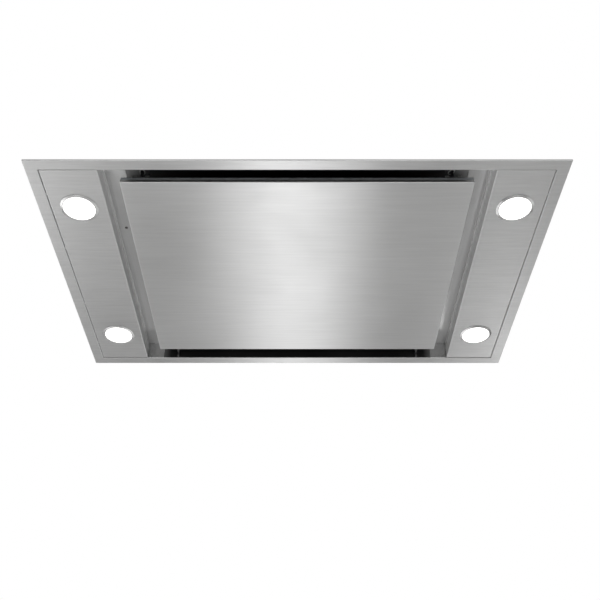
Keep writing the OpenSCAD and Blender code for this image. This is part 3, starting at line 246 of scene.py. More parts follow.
def worn_edge():
    """A mask along sharp edges and the normal that rounds them; the mask paints a highlight on the
    steel and wear on the other finishes.
    """
    tree, given, out = new_group(
        "Edge wear and highlight", {"Radius": 0.001, "Width": 0.25}, {"Mask": "Float", "Normal": "Vector"}
    )
    bevel = put(tree, "Bevel", samples=4)
    join(tree, given, bevel, "Radius", "Radius")
    facing = put(tree, "VectorMath", operation="DOT_PRODUCT")
    join(tree, bevel, facing)
    tree.links.new(put(tree, "NewGeometry").outputs["Normal"], facing.inputs[1])
    away = maths(tree, "SUBTRACT", 1.0, facing.outputs["Value"])
    mask = put(tree, "MapRange")
    tree.links.new(away, mask.inputs["Value"])
    join(tree, given, mask, "Width", "From Max")
    join(tree, mask, out, 0, "Mask")
    join(tree, bevel, out, 0, "Normal")
    return tree


def handling_marks():
    """Broad faint smears left by handling."""
    tree, given, out = new_group("Handling marks", {"Size": 7.0}, {"Smear": "Float"})
    node = put(tree, "TexNoise", {"Detail": 4.0, "Roughness": 0.55, "Distortion": 0.6})
    tree.links.new(object_coords(tree), node.inputs["Vector"])
    join(tree, given, node, "Size", "Scale")
    tree.links.new(spread(tree, node.outputs[0], 0.35, 0.7), out.inputs["Smear"])
    return tree


def fine_texture():
    """Spray or mould texture: a height, and a slow drift of tone."""
    tree, given, out = new_group(
        "Fine texture", {"Grains": 900.0}, {"Height": "Float", "Drift": "Float"}
    )
    grains = put(tree, "TexNoise", {"Detail": 2.0, "Roughness": 0.5})
    tree.links.new(object_coords(tree), grains.inputs["Vector"])
    join(tree, given, grains, "Grains", "Scale")
    join(tree, grains, out, 0, "Height")
    tree.links.new(spread(tree, noise_at(tree, 14.0, 3.0), 0.3, 0.7), out.inputs["Drift"])
    return tree


def settled_dust():
    """A thin broken layer on faces that look up."""
    tree, given, out = new_group("Settled dust", {"Amount": 0.5}, {"Mask": "Float"})
    split = put(tree, "SeparateXYZ")
    tree.links.new(put(tree, "NewGeometry").outputs["Normal"], split.inputs[0])
    upward = spread(tree, split.outputs[2], 0.4, 0.95)
    broken = spread(tree, noise_at(tree, 22.0, 6.0, 0.65), 0.3, 0.75)
    layer = maths(tree, "MULTIPLY", upward, broken)
    tree.links.new(maths(tree, "MULTIPLY", layer, given.outputs["Amount"]), out.inputs["Mask"])
    return tree


GROUPS = {}


def effect(tree, maker, **values):
    """Places a shared shader group in a material with its own values."""
    name = maker.__name__
    if name not in GROUPS:
        GROUPS[name] = maker()
    node = put(tree, "Group")
    node.node_tree = GROUPS[name]
    for key, value in values.items():
        node.inputs[key.replace("_", " ")].default_value = value
    return node


def start_material(name, colour_now, metallic, rough, **sockets):
    """A material with one Principled shader; returns its tree and the shader."""
    material = bpy.data.materials.new(name)
    material.use_nodes = True
    tree = material.node_tree
    shader = tree.nodes["Principled BSDF"]
    shader.inputs["Base Color"].default_value = (*colour_now, 1)
    shader.inputs["Metallic"].default_value = metallic
    shader.inputs["Roughness"].default_value = rough
    for key, value in sockets.items():
        shader.inputs[key.replace("_", " ")].default_value = value
    return material, tree, shader


def tinted(rgb, factor):
    return tuple(min(1.0, c * factor) for c in rgb)


def linear(rgb):
    """Linear values of a colour picked on screen."""
    return tuple(c / 12.92 if c <= 0.04045 else ((c + 0.055) / 1.055) ** 2.4 for c in rgb)


def raise_surface(tree, shader, height, depth, strength=0.5, edge=None):
    """Feeds a height through a Bump node, over the rounded edges if there are any."""
    bump = put(tree, "Bump", {"Strength": strength, "Distance": depth})
    tree.links.new(height, bump.inputs["Height"])
    if edge:
        join(tree, edge, bump, "Normal", "Normal")
    tree.links.new(bump.outputs[0], shader.inputs["Normal"])


def brushed_steel(
    name, rgb, rough, direction, contrast=0.05, along=14.0, lengthwise=0.0, shine=1.0
):
    """Steel brushed along X, or along Y where lengthwise is 1; its folded walls are duller and carry
    painted light, its edges a painted highlight and its seams painted shade.
    """
    # Factors of painted light: the first lightens sharp edges, the second lightens walls that point
    # along X, the third takes metal off those walls.
    edge_rub_and_highlight, wall_painted_light, wall_dullness = 1.35, 1.15, 0.6
    base = linear(rgb)
    material, tree, shader = start_material(
        name, base, 1.0, rough, Anisotropic=direction, Anisotropic_Rotation=0.25
    )
    tangent = put(tree, "CombineXYZ", {0: 1.0 - lengthwise, 1: lengthwise, 2: 0.02})
    join(tree, tangent, shader, 0, "Tangent")
    grain = effect(tree, brushed_grain, Along=along, Along_Y=lengthwise)
    marks = effect(tree, handling_marks)
    edge = effect(tree, worn_edge, Radius=0.0009)
    streaks = blend_colours(
        tree, spread(tree, grain.outputs["Streaks"], 0.3, 0.7),
        tinted(base, 1 - contrast), tinted(base, 1 + contrast),
    )
    # Painted highlight: sharp edges of the steel are lightened, standing for light caught on the
    # folds.
    lit = blend_colours(tree, edge.outputs["Mask"], streaks, tinted(base, edge_rub_and_highlight))
    # Painted shade: the steel colour is darkened in narrow seams by ambient occlusion.
    shade = put(tree, "Mix", {0: 1.0}, data_type="RGBA", blend_type="MULTIPLY")
    tree.links.new(lit, shade.inputs[6])
    join(tree, effect(tree, crevice), shade, 0, 7)
    # Painted light: faces that point along X get a lighter tone and less metal, so that the folded
    # walls read as lit.
    walls = spread(tree, face_axis(tree, 0), 0.3, 0.7)
    toned = blend_colours(tree, walls, shade.outputs[2], tinted(base, wall_painted_light))
    tree.links.new(toned, shader.inputs["Base Color"])
    ledge = spread(tree, face_axis(tree, 2), 0.3, 0.7, 0.0, 1.0 - shine)
    dull = maths(tree, "MAXIMUM", ledge, maths(tree, "MULTIPLY", walls, wall_dullness))
    tree.links.new(maths(tree, "SUBTRACT", 1.0, dull), shader.inputs["Metallic"])
    smeared = spread(tree, marks.outputs["Smear"], 0, 1, rough - 0.02, rough + 0.03)
    fine = spread(tree, grain.outputs["Fine"], 0.3, 0.7, -0.015, 0.02)
    tree.links.new(maths(tree, "ADD", smeared, fine), shader.inputs["Roughness"])
    raise_surface(tree, shader, grain.outputs["Fine"], 0.00003, 0.12, edge)
    return material


def plated_metal(
    name, rgb, rough, grains=1400.0, dust=0.0, edge_radius=0.0005, depth=0.00005, metallic=1.0
):
    """Plated, sprung or cast metal with soft handling marks and bright worn edges."""
    base = linear(rgb)
    material, tree, shader = start_material(name, base, metallic, rough)
    texture = effect(tree, fine_texture, Grains=grains)
    marks = effect(tree, handling_marks, Size=30.0)
    edge = effect(tree, worn_edge, Radius=edge_radius)
    drift = blend_colours(tree, texture.outputs["Drift"], tinted(base, 0.86), tinted(base, 1.1))
    worn = blend_colours(tree, edge.outputs["Mask"], drift, tinted(base, 1.3))
    uneven = spread(tree, marks.outputs["Smear"], 0, 1, rough * 0.8, rough * 1.3)
    if dust:
        layer = effect(tree, settled_dust, Amount=dust)
        worn = blend_colours(tree, layer.outputs["Mask"], worn, linear((0.62, 0.61, 0.59)))
        uneven = maths(tree, "MAXIMUM", uneven, layer.outputs["Mask"])
    tree.links.new(worn, shader.inputs["Base Color"])
    tree.links.new(uneven, shader.inputs["Roughness"])
    raise_surface(tree, shader, texture.outputs["Height"], depth, 0.4, edge)
    return material


def galvanised_sheet(name, rgb, rough, dust):
    """Hot-dipped zinc: crystals of many sizes, each with its own tone, under light dust."""
    base = linear(rgb)
    material, tree, shader = start_material(name, base, 1.0, rough)
    coords = object_coords(tree)
    cells = put(tree, "TexVoronoi", {"Scale": 95.0, "Randomness": 1.0})
    flakes = put(tree, "TexVoronoi", {"Scale": 230.0, "Randomness": 1.0})
    for node in (cells, flakes):
        tree.links.new(coords, node.inputs["Vector"])
    tones = []
    for node, low, high in ((cells, 0.84, 1.12), (flakes, 0.9, 1.08)):
        split = put(tree, "SeparateColor")
        join(tree, node, split, "Color")
        tones.append(blend_colours(tree, split.outputs[0], tinted(base, low), tinted(base, high)))
    edge = effect(tree, worn_edge, Radius=0.0008)
    texture = effect(tree, fine_texture, Grains=600.0)
    crystals = blend_colours(tree, texture.outputs["Drift"], tones[0], tones[1])
    worn = blend_colours(tree, edge.outputs["Mask"], crystals, tinted(base, 1.25))
    layer = effect(tree, settled_dust, Amount=dust)
    dusty = blend_colours(tree, layer.outputs["Mask"], worn, linear((0.66, 0.65, 0.63)))
    tree.links.new(dusty, shader.inputs["Base Color"])
    split = put(tree, "SeparateColor")
    join(tree, cells, split, "Color")
    uneven = spread(tree, split.outputs[1], 0, 1, rough - 0.08, rough + 0.1)
    tree.links.new(maths(tree, "MAXIMUM", uneven, layer.outputs["Mask"]), shader.inputs["Roughness"])
    raise_surface(tree, shader, texture.outputs["Height"], 0.00004, 0.3, edge)
    return material


def painted(name, rgb, rough, grains, depth, wear=(0.3, 0.3, 0.3)):
    """Paint, plastic or rubber: fine texture, slow drift of tone and edges worn paler."""
    base = linear(rgb)
    material, tree, shader = start_material(name, base, 0.0, rough)
    texture = effect(tree, fine_texture, Grains=grains)
    marks = effect(tree, handling_marks, Size=12.0)
    edge = effect(tree, worn_edge, Radius=0.0006, Width=0.4)
    drift = blend_colours(tree, texture.outputs["Drift"], tinted(base, 0.9), tinted(base, 1.08))
    edge_rub_and_highlight = maths(tree, "MULTIPLY", edge.outputs["Mask"], 0.5)
    worn = blend_colours(tree, edge_rub_and_highlight, drift, linear(wear))
    tree.links.new(worn, shader.inputs["Base Color"])
    uneven = spread(tree, marks.outputs["Smear"], 0, 1, rough * 0.85, rough * 1.15)
    tree.links.new(uneven, shader.inputs["Roughness"])
    raise_surface(tree, shader, texture.outputs["Height"], depth, 0.5, edge)
    return material, tree, shader, worn


def plain_paint(*looks):
    """Paint, plastic or rubber as it is, without its nodes."""
    return painted(*looks)[0]


# Where light is painted on the black chamber: its walls next to the trays, low in it
TRAY_EDGE = 0.297
LIT_BELOW, DARK_ABOVE = 0.060, 0.100


def black_paint_with_painted_light(name, rgb, rough, wear, pale, start):
    """Satin black paint with painted light: it turns grey from a distance off the middle out to the
    steel trays, and only low down.
    """
    material, tree, shader, worn = painted(name, rgb, rough, 1500.0, 0.00005, wear)
    place = put(tree, "SeparateXYZ")
    tree.links.new(object_coords(tree), place.inputs[0])
    side = maths(tree, "ABSOLUTE", place.outputs[0], 0)
    low = spread(tree, place.outputs[2], LIT_BELOW, DARK_ABOVE, 1.0, 0.0)
    # Painted light: a grey pool towards the trays and low in the chamber, where light would come in
    # through the slots.
    painted_light_mask = maths(tree, "MULTIPLY", spread(tree, side, start, TRAY_EDGE), low)
    with_painted_light = blend_colours(tree, painted_light_mask, worn, linear((pale, pale, pale)))
    tree.links.new(with_painted_light, shader.inputs["Base Color"])
    return material


def lit_lens(name, strength):
    """Frosted lens that glows almost evenly."""
    material, tree, shader = start_material(
        name, (0.95, 0.95, 0.93), 0.0, 0.35, Emission_Strength=strength
    )
    texture = effect(tree, fine_texture, Grains=1800.0)
    glow = blend_colours(tree, texture.outputs["Drift"], (1.0, 0.985, 0.95), (1.0, 1.0, 0.985))
    tree.links.new(glow, shader.inputs["Emission Color"])
    raise_surface(tree, shader, texture.outputs["Height"], 0.00006)
    return material


def woven_filter(name, rgb):
    """Two crossed layers of aluminium mesh, with painted shade in the gaps between strands."""
    base = linear(rgb)
    material, tree, shader = start_material(name, base, 1.0, 0.42)
    coords = object_coords(tree)
    waves = []
    for turn in (0.6, -0.6):
        mapping = put(tree, "Mapping", {"Rotation": (0, 0, turn)})
        tree.links.new(coords, mapping.inputs["Vector"])
        wave = put(tree, "TexWave", {"Scale": 62.0, "Distortion": 1.2, "Detail": 1.0})
        join(tree, mapping, wave)
        waves.append(wave.outputs[1])
    strands = maths(tree, "MAXIMUM", *waves)
    # Painted shade: the gaps between strands are darkened, standing for the unlit inside of the
    # filter.
    strands_over_painted_shade = spread(tree, strands, 0.55, 0.85)
    meshed = blend_colours(tree, strands_over_painted_shade, tinted(base, 0.12), base)
    tree.links.new(meshed, shader.inputs["Base Color"])
    tree.links.new(spread(tree, strands, 0, 1, 0.6, 0.32), shader.inputs["Roughness"])
    raise_surface(tree, shader, strands, 0.0004, 0.8)
    return material


def dark_window(name):
    """Tinted receiver window."""
    material, tree, shader = start_material(name, (0.02, 0.012, 0.01), 0.0, 0.12, Coat_Weight=0.5)
    texture = effect(tree, fine_texture, Grains=700.0)
    tree.links.new(
        blend_colours(tree, texture.outputs["Drift"], (0.018, 0.01, 0.009), (0.03, 0.018, 0.015)),
        shader.inputs["Base Color"],
    )
    raise_surface(tree, shader, texture.outputs["Height"], 0.00002, 0.2)
    return material


MATERIALS = {}


def finish_of(slot_name):
    """The material of a record slot, made when it is first asked for."""
    if slot_name in MATERIALS:
        return MATERIALS[slot_name]
    f = bpy.context.scene.hood_finishes
    makers = {
        "stainless": lambda n: brushed_steel(n, f.steel, f.steel_rough, f.steel_grain),
        "stainless_door": lambda n: brushed_steel(
            n, f.door_steel, f.steel_rough, f.steel_grain, contrast=0.035, along=9.0
        ),
        "stainless_tray": lambda n: brushed_steel(
            n, f.tray_steel, f.tray_rough, f.steel_grain, contrast=0.03, lengthwise=1.0, shine=0.6
        ),
        "black_paint": lambda n: black_paint_with_painted_light(
            n, f.black, 0.5, (0.2, 0.2, 0.2), pale=0.44, start=0.280
        ),
        "dark_steel": lambda n: black_paint_with_painted_light(
            n, tinted(f.black, 2.0), 0.42, (0.45, 0.45, 0.45), pale=0.57, start=0.252
        ),
        "spring_steel": lambda n: plated_metal(n, (0.74, 0.74, 0.75), 0.22),
        "filter_aluminium": lambda n: plated_metal(n, f.aluminium, 0.34, grains=900.0),
        "filter_mesh": lambda n: woven_filter(n, f.aluminium),
        "galvanised": lambda n: galvanised_sheet(n, f.galvanised, 0.38, dust=0.35),
        "zinc_plated": lambda n: plated_metal(n, f.plated, 0.4, dust=0.3, metallic=0.45),
        "bezel_chrome": lambda n: plated_metal(
            n, (0.72, 0.72, 0.72), 0.28, grains=1600.0, edge_radius=0.0003, depth=0.00001
        ),
        "lit_lens": lambda n: lit_lens(n, f.lamp_glow),
        "cast_aluminium": lambda n: plated_metal(
            n, (0.62, 0.63, 0.64), 0.5, grains=700.0, edge_radius=0.0006, depth=0.0002
        ),
        "dark_lens": dark_window,
        "white_plastic": lambda n: plain_paint(
            n, f.white_plastic, 0.45, 1200.0, 0.00008, (0.93, 0.93, 0.92)
        ),
        "grey_plastic": lambda n: plain_paint(n, f.grey_plastic, 0.5, 1000.0, 0.0001, (0.5, 0.5, 0.5)),
        "black_plastic": lambda n: plain_paint(n, f.black_plastic, 0.45, 1000.0, 0.0001),
        "black_rubber": lambda n: plain_paint(
            n, (0.10, 0.10, 0.10), 0.75, 700.0, 0.0002, (0.2, 0.2, 0.2)
        ),
    }
    MATERIALS[slot_name] = makers[slot_name](slot_name)
    return MATERIALS[slot_name]


def dress(*nodes):
    """Gives CAD nodes the finish of the record slot that they name."""
    for name in nodes:
        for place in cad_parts[name].material_slots:
            place.material = finish_of(place.material.name.split(".")[0])


# Building blocks of the fasteners and fittings

def begin(kind, name, **where):
    """A primitive, added with nothing else selected."""
    bpy.ops.object.select_all(action="DESELECT")
    getattr(bpy.ops.mesh, f"primitive_{kind}_add")(**where)
    piece = bpy.context.active_object
    piece.name = piece.data.name = name
    return piece


def pick_faces(piece, wanted):
    """Selects the faces whose middle and normal pass a test, in edit mode."""
    bpy.ops.mesh.select_mode(type="FACE")
    bpy.ops.mesh.select_all(action="DESELECT")
    mesh = bmesh.from_edit_mesh(piece.data)
    for face in mesh.faces:
        face.select_set(wanted(face.calc_center_median(), face.normal))
    bmesh.update_edit_mesh(piece.data)


def turned(name, profile, sides):
    """A turned piece: a ring of edges drawn from point to point of a profile of radius and height."""
    (radius, height), *rest = profile
    piece = begin("circle", name, vertices=sides, radius=radius)
    bpy.ops.object.mode_set(mode="EDIT")
    bpy.ops.mesh.select_all(action="SELECT")
    bpy.ops.transform.translate(value=(0, 0, height))
    for wider, higher in rest:
        bpy.ops.mesh.extrude_edges_move(TRANSFORM_OT_translate={"value": (0, 0, higher - height)})
        bpy.ops.transform.resize(value=(wider / radius, wider / radius, 1), center_override=(0, 0, 0))
        radius, height = wider, higher
    close_up()
    return piece


def close_up():
    """Merges doubles, fills open ends and turns all faces outwards, then leaves edit mode."""
    bpy.ops.mesh.select_mode(type="VERT")
    bpy.ops.mesh.select_all(action="SELECT")
    bpy.ops.mesh.remove_doubles(threshold=0.000002)
    bpy.ops.mesh.fill_holes(sides=0)
    bpy.ops.mesh.select_all(action="SELECT")
    bpy.ops.mesh.normals_make_consistent(inside=False)
    bpy.ops.object.mode_set(mode="OBJECT")


def make_active(piece):
    bpy.ops.object.select_all(action="DESELECT")
    piece.select_set(True)
    bpy.context.view_layer.objects.active = piece


def cut(piece, cutter):
    """Takes a cutter's shape out of a piece and deletes the cutter."""
    make_active(piece)
    recess = piece.modifiers.new("recess", "BOOLEAN")
    recess.operation = "DIFFERENCE"
    recess.object = cutter
    recess.solver = "EXACT"
    recess.use_self = True
    bpy.ops.object.modifier_apply(modifier=recess.name)
    bpy.data.objects.remove(cutter)


def spread_copies(source, name, places):
    """Copies a piece to places, each a point, the way its top faces and a size, and joins them."""
    made = []
    for step, (point, up, size) in enumerate(places):
        mesh = source.data.copy()
        turn = Vector((0, 0, 1)).rotation_difference(Vector(up)).to_matrix().to_4x4()
        own = Matrix.Rotation(math.radians(37 * step), 4, "Z")
        mesh.transform(Matrix.Translation(point) @ turn @ own @ Matrix.Scale(size, 4))
        made.append(bpy.data.objects.new(name, mesh))
        bpy.context.scene.collection.objects.link(made[-1])
    bpy.data.objects.remove(source)
    make_active(made[0])
    for copy in made:
        copy.select_set(True)
    bpy.ops.object.join()
    return bpy.context.active_object


def fit(piece, slot_name, body, *replaced):
    """Gives a finished piece its shading, its finish and the body that it rides on."""
    make_active(piece)
    bpy.ops.object.transform_apply(location=True, rotation=True, scale=True)
    bpy.ops.object.shade_smooth_by_angle(angle=math.radians(35))
    piece.data.materials.clear()
    piece.data.materials.append(finish_of(slot_name))
    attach(piece, body)
    if replaced:
        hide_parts(*replaced)


def cross_screw(grip):
    """A pan-head screw with a cross recess: its head stands on z = 0, its shank goes down."""
    head, tall, shank = 4 * MM, 2.4 * MM, 1.9 * MM
    screw = turned("screw", [
        (0.6 * shank, -grip), (shank, -0.9 * grip), (shank, 0), (head, 0), (head, 0.35 * tall),
        (0.94 * head, 0.62 * tall), (0.8 * head, 0.86 * tall), (0.5 * head, tall),
    ], 20)
    arm = (1.15 * head, 0.27 * head, 1.2 * tall)
    cutter = begin("cube", "cutter", size=1, location=(0, 0, tall), scale=arm)
    bpy.ops.object.transform_apply(location=True, rotation=True, scale=True)
    bpy.ops.object.mode_set(mode="EDIT")
    pick_faces(cutter, lambda middle, normal: normal.z < -0.9)
    bpy.ops.transform.resize(value=(0.4, 0.6, 1), center_override=(0, 0, 0))
    bpy.ops.mesh.select_all(action="SELECT")
    bpy.ops.mesh.duplicate()
    bpy.ops.transform.rotate(value=math.pi / 2, orient_axis="Z", center_override=(0, 0, 0))
    bpy.ops.object.mode_set(mode="OBJECT")
    cut(screw, cutter)
    return screw


def pop_rivet():
    """A blind rivet with the hollow end of its pin."""
    return turned("rivet", [
        (2.4 * MM, -0.6 * MM), (3.2 * MM, 0), (3.2 * MM, 0.3 * MM), (2.7 * MM, 0.85 * MM),
        (1.7 * MM, 1.2 * MM), (1.0 * MM, 1.2 * MM), (0.9 * MM, 0.5 * MM),
    ], 16)


# Operators: one for each group of like pieces

class FinishOperator:
    """Shared body of the operators that only dress CAD nodes."""

    bl_options = {"REGISTER", "UNDO"}
    nodes = ()

    def execute(self, context):
        dress(*self.nodes)
        return {"FINISHED"}


class HOOD_OT_trim(FinishOperator, bpy.types.Operator):
    """Dress the trim frame, the lamp panels and the side trays"""

    bl_idname = "hood.trim"
    bl_label = "Trim and lamp panels"
    nodes = ("trim_frame", "lamp_panel_left", "lamp_panel_right", "side_tray_left", "side_tray_right")


class HOOD_OT_door(FinishOperator, bpy.types.Operator):
    """Dress the door panel, its back and its ribs"""

    bl_idname = "hood.door"
    bl_label = "Door panel"
    nodes = ("door_skin", "door_back", "door_stiffeners")


class HOOD_OT_hinges(FinishOperator, bpy.types.Operator):
    """Dress the hinges, the catches and the brackets of the studs"""

    bl_idname = "hood.hinges"
    bl_label = "Hinges and catches"
    nodes = (
        "hinge_brackets", "hinge_pins", "hinge_arms", "catch_plates", "catch_clips", "stud_brackets",
    )


class HOOD_OT_chamber(FinishOperator, bpy.types.Operator):
    """Dress the black chamber and the guides and springs of the filters"""

    bl_idname = "hood.chamber"
    bl_label = "Chamber"
    nodes = ("liner", "filter_guides", "filter_pocket", "filter_springs_left", "filter_springs_right")


class HOOD_OT_filters(FinishOperator, bpy.types.Operator):
    """Dress the two grease filters"""

    bl_idname = "hood.filters"
    bl_label = "Grease filters"
    nodes = (
        "filter_frame_left", "filter_frame_right", "filter_mesh_left", "filter_mesh_right",
        "filter_handle_left", "filter_handle_right",
    )


class HOOD_OT_lamps(FinishOperator, bpy.types.Operator):
    """Dress the lamps, the receiver and the lamp driver"""

    bl_idname = "hood.lamps"
    bl_label = "Lamps and receiver"
    nodes = ("lamp_bezels", "lamp_lenses", "lamp_housings", "lamp_clips", "receiver", "led_driver")


class HOOD_OT_casing(FinishOperator, bpy.types.Operator):
    """Dress the casing, its lid and the hangers"""

    bl_idname = "hood.casing"
    bl_label = "Casing"
    nodes = (
        "casing_wrap", "casing_lid", "hanger_near_left", "hanger_near_right",
        "hanger_far_left", "hanger_far_right",
    )


class HOOD_OT_blower(FinishOperator, bpy.types.Operator):
    """Dress the blower and its motor"""

    bl_idname = "hood.blower"
    bl_label = "Blower"
    nodes = (
        "scroll_base", "scroll_cover", "inlet_cone", "inlet_guard", "impeller", "motor_shaft",
        "motor_body", "rubber_mounts", "blower_brackets", "capacitor",
    )


class HOOD_OT_outlet(FinishOperator, bpy.types.Operator):
    """Dress the duct outlet and its flaps"""

    bl_idname = "hood.outlet"
    bl_label = "Duct outlet"
    nodes = ("outlet_adapter", "duct_collar", "flap_pin", "flap_left", "flap_right")


class HOOD_OT_controls(FinishOperator, bpy.types.Operator):
    """Dress the control box and its cover"""

    bl_idname = "hood.controls"
    bl_label = "Controls"
    nodes = ("control_box", "control_cover")


class PieceOperator:
    """Shared options of the operators that make pieces."""

    bl_options = {"REGISTER", "UNDO"}


# Ways that the top of a fastener faces, the size of the small ones, and a level they share
UP, AWAY, TO_COOK = (0, 0, 1), (0, 1, 0), (0, -1, 0)
SMALL = 0.8
FOOT_TOP = 268.5 * MM

# Where the catches are, each side of the middle
CATCH_X = 266.5 * MM


def ring_of(count, start, radius):
    """Points of a circle as pairs."""
    for step in range(count):
        angle = math.radians(start + step * 360 / count)
        yield radius * math.cos(angle), radius * math.sin(angle)


def screw_set(name, slot_name, body, grip, places, *replaced):
    """One cross-recessed screw, copied to its places and joined."""
    fit(spread_copies(cross_screw(grip), name, places), slot_name, body, *replaced)


class HOOD_OT_casing_screws(PieceOperator, bpy.types.Operator):
    """Put the screws of the lid, the hangers and the duct collar in"""

    bl_idname = "hood.casing_screws"
    bl_label = "Casing screws"

    def execute(self, context):
        edge_x, edge_y, lid_top = 423.2 * MM, 273.2 * MM, 266 * MM
        lid = [
            ((x * edge_x, y * edge_y, lid_top), UP, 1)
            for y in (-1, 1) for x in (-1, -0.34, 0.34, 1)
        ] + [((x * edge_x, 0, lid_top), UP, 1) for x in (-1, 1)]
        screw_set("lid_cross_screws", "zinc_plated", "hood", 5 * MM, lid, "lid_screws")
        face, middle, ring = 283.7 * MM, 178 * MM, 80.5 * MM
        collar = [((x, face, middle - z), AWAY, 1) for x, z in ring_of(6, 30, ring)]
        screw_set("collar_cross_screws", "zinc_plated", "hood", 5 * MM, collar, "collar_screws")
        hanger_x, hanger_y, off_middle = 321 * MM, 220 * MM, 11 * MM
        feet = [
            ((x * hanger_x, y * hanger_y + s * off_middle, FOOT_TOP), UP, 1)
            for x in (-1, 1) for y in (-1, 1) for s in (-1, 1)
        ]
        screw_set("hanger_foot_screws", "zinc_plated", "hood", 5 * MM, feet)
        return {"FINISHED"}


class HOOD_OT_hinge_screws(PieceOperator, bpy.types.Operator):
    """Put the screws of the hinge brackets and of the hinge straps in"""

    bl_idname = "hood.hinge_screws"
    bl_label = "Hinge screws"

    def execute(self, context):
        wing_x, wing_face, wing_heights = 272 * MM, 276.5 * MM, (24.7, 35.7)
        wings = [
            ((x * wing_x, wing_face, z * MM), TO_COOK, SMALL)
            for x in (-1, 1) for z in wing_heights
        ]
        screw_set("hinge_wing_screws", "zinc_plated", "hood", 2.4 * MM, wings)
        strap_x, strap_top, strap_rows = 254.2 * MM, 13 * MM, (203, 233)
        straps = [((x * strap_x, y * MM, strap_top), UP, 1) for x in (-1, 1) for y in strap_rows]
        screw_set("hinge_strap_screws", "zinc_plated", "door", 4 * MM, straps)
        return {"FINISHED"}


class HOOD_OT_control_screws(PieceOperator, bpy.types.Operator):
    """Put the screws of the control box and of the motor flange in"""

    bl_idname = "hood.control_screws"
    bl_label = "Control and motor screws"

    def execute(self, context):
        box_x, box_y, cover_row = 224, -84, 300 * MM
        cover = [
            (((box_x + x * 70) * MM, (box_y + y * 60) * MM, cover_row), (0, y, 0), SMALL)
            for x in (-1, 1) for y in (-1, 1)
        ]
        screw_set("cover_screws", "zinc_plated", "hood", 3 * MM, cover)
        feet = [
            (((box_x + x * 47.5) * MM, (box_y + y * 64.5) * MM, FOOT_TOP), UP, SMALL)
            for x in (-1, 1) for y in (-1, 1)
        ]
        screw_set("box_foot_screws", "zinc_plated", "hood", 4 * MM, feet)
        motor_x, motor_y, flange_top, ring = -90 * MM, 20 * MM, 235.5 * MM, 57 * MM
        ears = [((motor_x + x, motor_y + y, flange_top), UP, 1) for x, y in ring_of(3, 0, ring)]
        screw_set("motor_flange_screws", "zinc_plated", "hood", 4 * MM, ears)
        return {"FINISHED"}


class HOOD_OT_rivets(PieceOperator, bpy.types.Operator):
    """Put the rivets of the casing corners in"""

    bl_idname = "hood.rivets"
    bl_label = "Casing rivets"

    def execute(self, context):
        corner_x, face_y, heights = 422.2 * MM, 281.2 * MM, (40, 133, 226)
        places = [
            ((x * corner_x, y * face_y, z * MM), (0, y, 0), 1)
            for x in (-1, 1) for y in (-1, 1) for z in heights
        ]
        fit(spread_copies(pop_rivet(), "casing_rivets", places), "spring_steel", "hood")
        return {"FINISHED"}


class HOOD_OT_gland(PieceOperator, bpy.types.Operator):
    """Model the cable gland: seat, chamfered hexagon and ribbed dome nut"""

    bl_idname = "hood.gland"
    bl_label = "Cable gland"

    def execute(self, context):
        seat = turned("gland_seat", [
            (12 * MM, 0), (12 * MM, 3.6 * MM), (11 * MM, 4.5 * MM), (9 * MM, 4.5 * MM),
        ], 6)
        dome = turned("gland_dome", [
            (4.5 * MM, -7 * MM), (7.1 * MM, -7 * MM), (7.1 * MM, 0), (8.6 * MM, 0),
            (8.6 * MM, 4.4 * MM), (9 * MM, 5 * MM), (9 * MM, 13 * MM), (8.5 * MM, 15.2 * MM),
            (7.5 * MM, 17.2 * MM), (6.6 * MM, 18 * MM), (5.2 * MM, 18 * MM), (4.5 * MM, 16.6 * MM),
            (4.5 * MM, -7 * MM),
        ], 36)
        make_active(dome)
        bpy.ops.object.mode_set(mode="EDIT")
        pick_faces(dome, lambda middle, normal: (
            abs(normal.z) < 0.1 and 5 * MM < middle.z < 13 * MM and middle.xy.length > 8 * MM
            and round((math.degrees(math.atan2(middle.y, middle.x)) - 5) / 10) % 2 == 0
        ))
        bpy.ops.mesh.inset(thickness=0.25 * MM, depth=-0.45 * MM, use_individual=True)
        bpy.ops.object.mode_set(mode="OBJECT")
        make_active(seat)
        dome.select_set(True)
        bpy.ops.object.join()
        place = [((319 * MM, -84 * MM, 280 * MM), (1, 0, 0), 1)]
        nut = spread_copies(seat, "cable_gland_nut", place)
        fit(nut, "black_plastic", "hood", "cable_gland")
        return {"FINISHED"}


class HOOD_OT_studs(PieceOperator, bpy.types.Operator):
    """Model the blackened catch studs: collar, shank, waisted tip and hexagon nut"""

    bl_idname = "hood.studs"
    bl_label = "Catch studs"

    def execute(self, context):
        low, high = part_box("catch_studs")
        tall = high.z - low.z
        r = 2.4 * MM
        shank = turned("stud", [
            (1.5 * r, 0), (1.6 * r, 0.2 * MM), (1.6 * r, 1.2 * MM), (r, 1.2 * MM),
            (r, tall - 7 * MM), (0.82 * r, tall - 6.4 * MM), (0.82 * r, tall - 5 * MM),
            (r, tall - 4.4 * MM), (r, tall - 3 * MM), (0.5 * r, tall - 0.2 * MM), (0.42 * r, tall),
        ], 24)
        nut = turned("nut", [
            (1.62 * r, 2.4 * MM), (1.8 * r, 2.7 * MM), (1.8 * r, 4.3 * MM), (1.6 * r, 4.7 * MM),
        ], 6)
        make_active(shank)
        nut.select_set(True)
        bpy.ops.object.join()
        stud_y = -236.5 * MM
        places = [((x * CATCH_X, stud_y, low.z), UP, 1) for x in (-1, 1)]
        fit(spread_copies(shank, "stud_bolts", places), "black_plastic", "door", "catch_studs")
        return {"FINISHED"}


def half_rim(name, **cleared):
    """Half of a ring of round section, still in edit mode."""
    rim = begin(
        "torus", name, major_segments=40, minor_segments=10,
        major_radius=3.9 * MM, minor_radius=0.8 * MM,
    )
    bpy.ops.object.mode_set(mode="EDIT")
    bpy.ops.mesh.select_all(action="SELECT")
    bpy.ops.mesh.bisect(plane_co=(0, 0, 0), plane_no=AWAY, **cleared)
    return rim


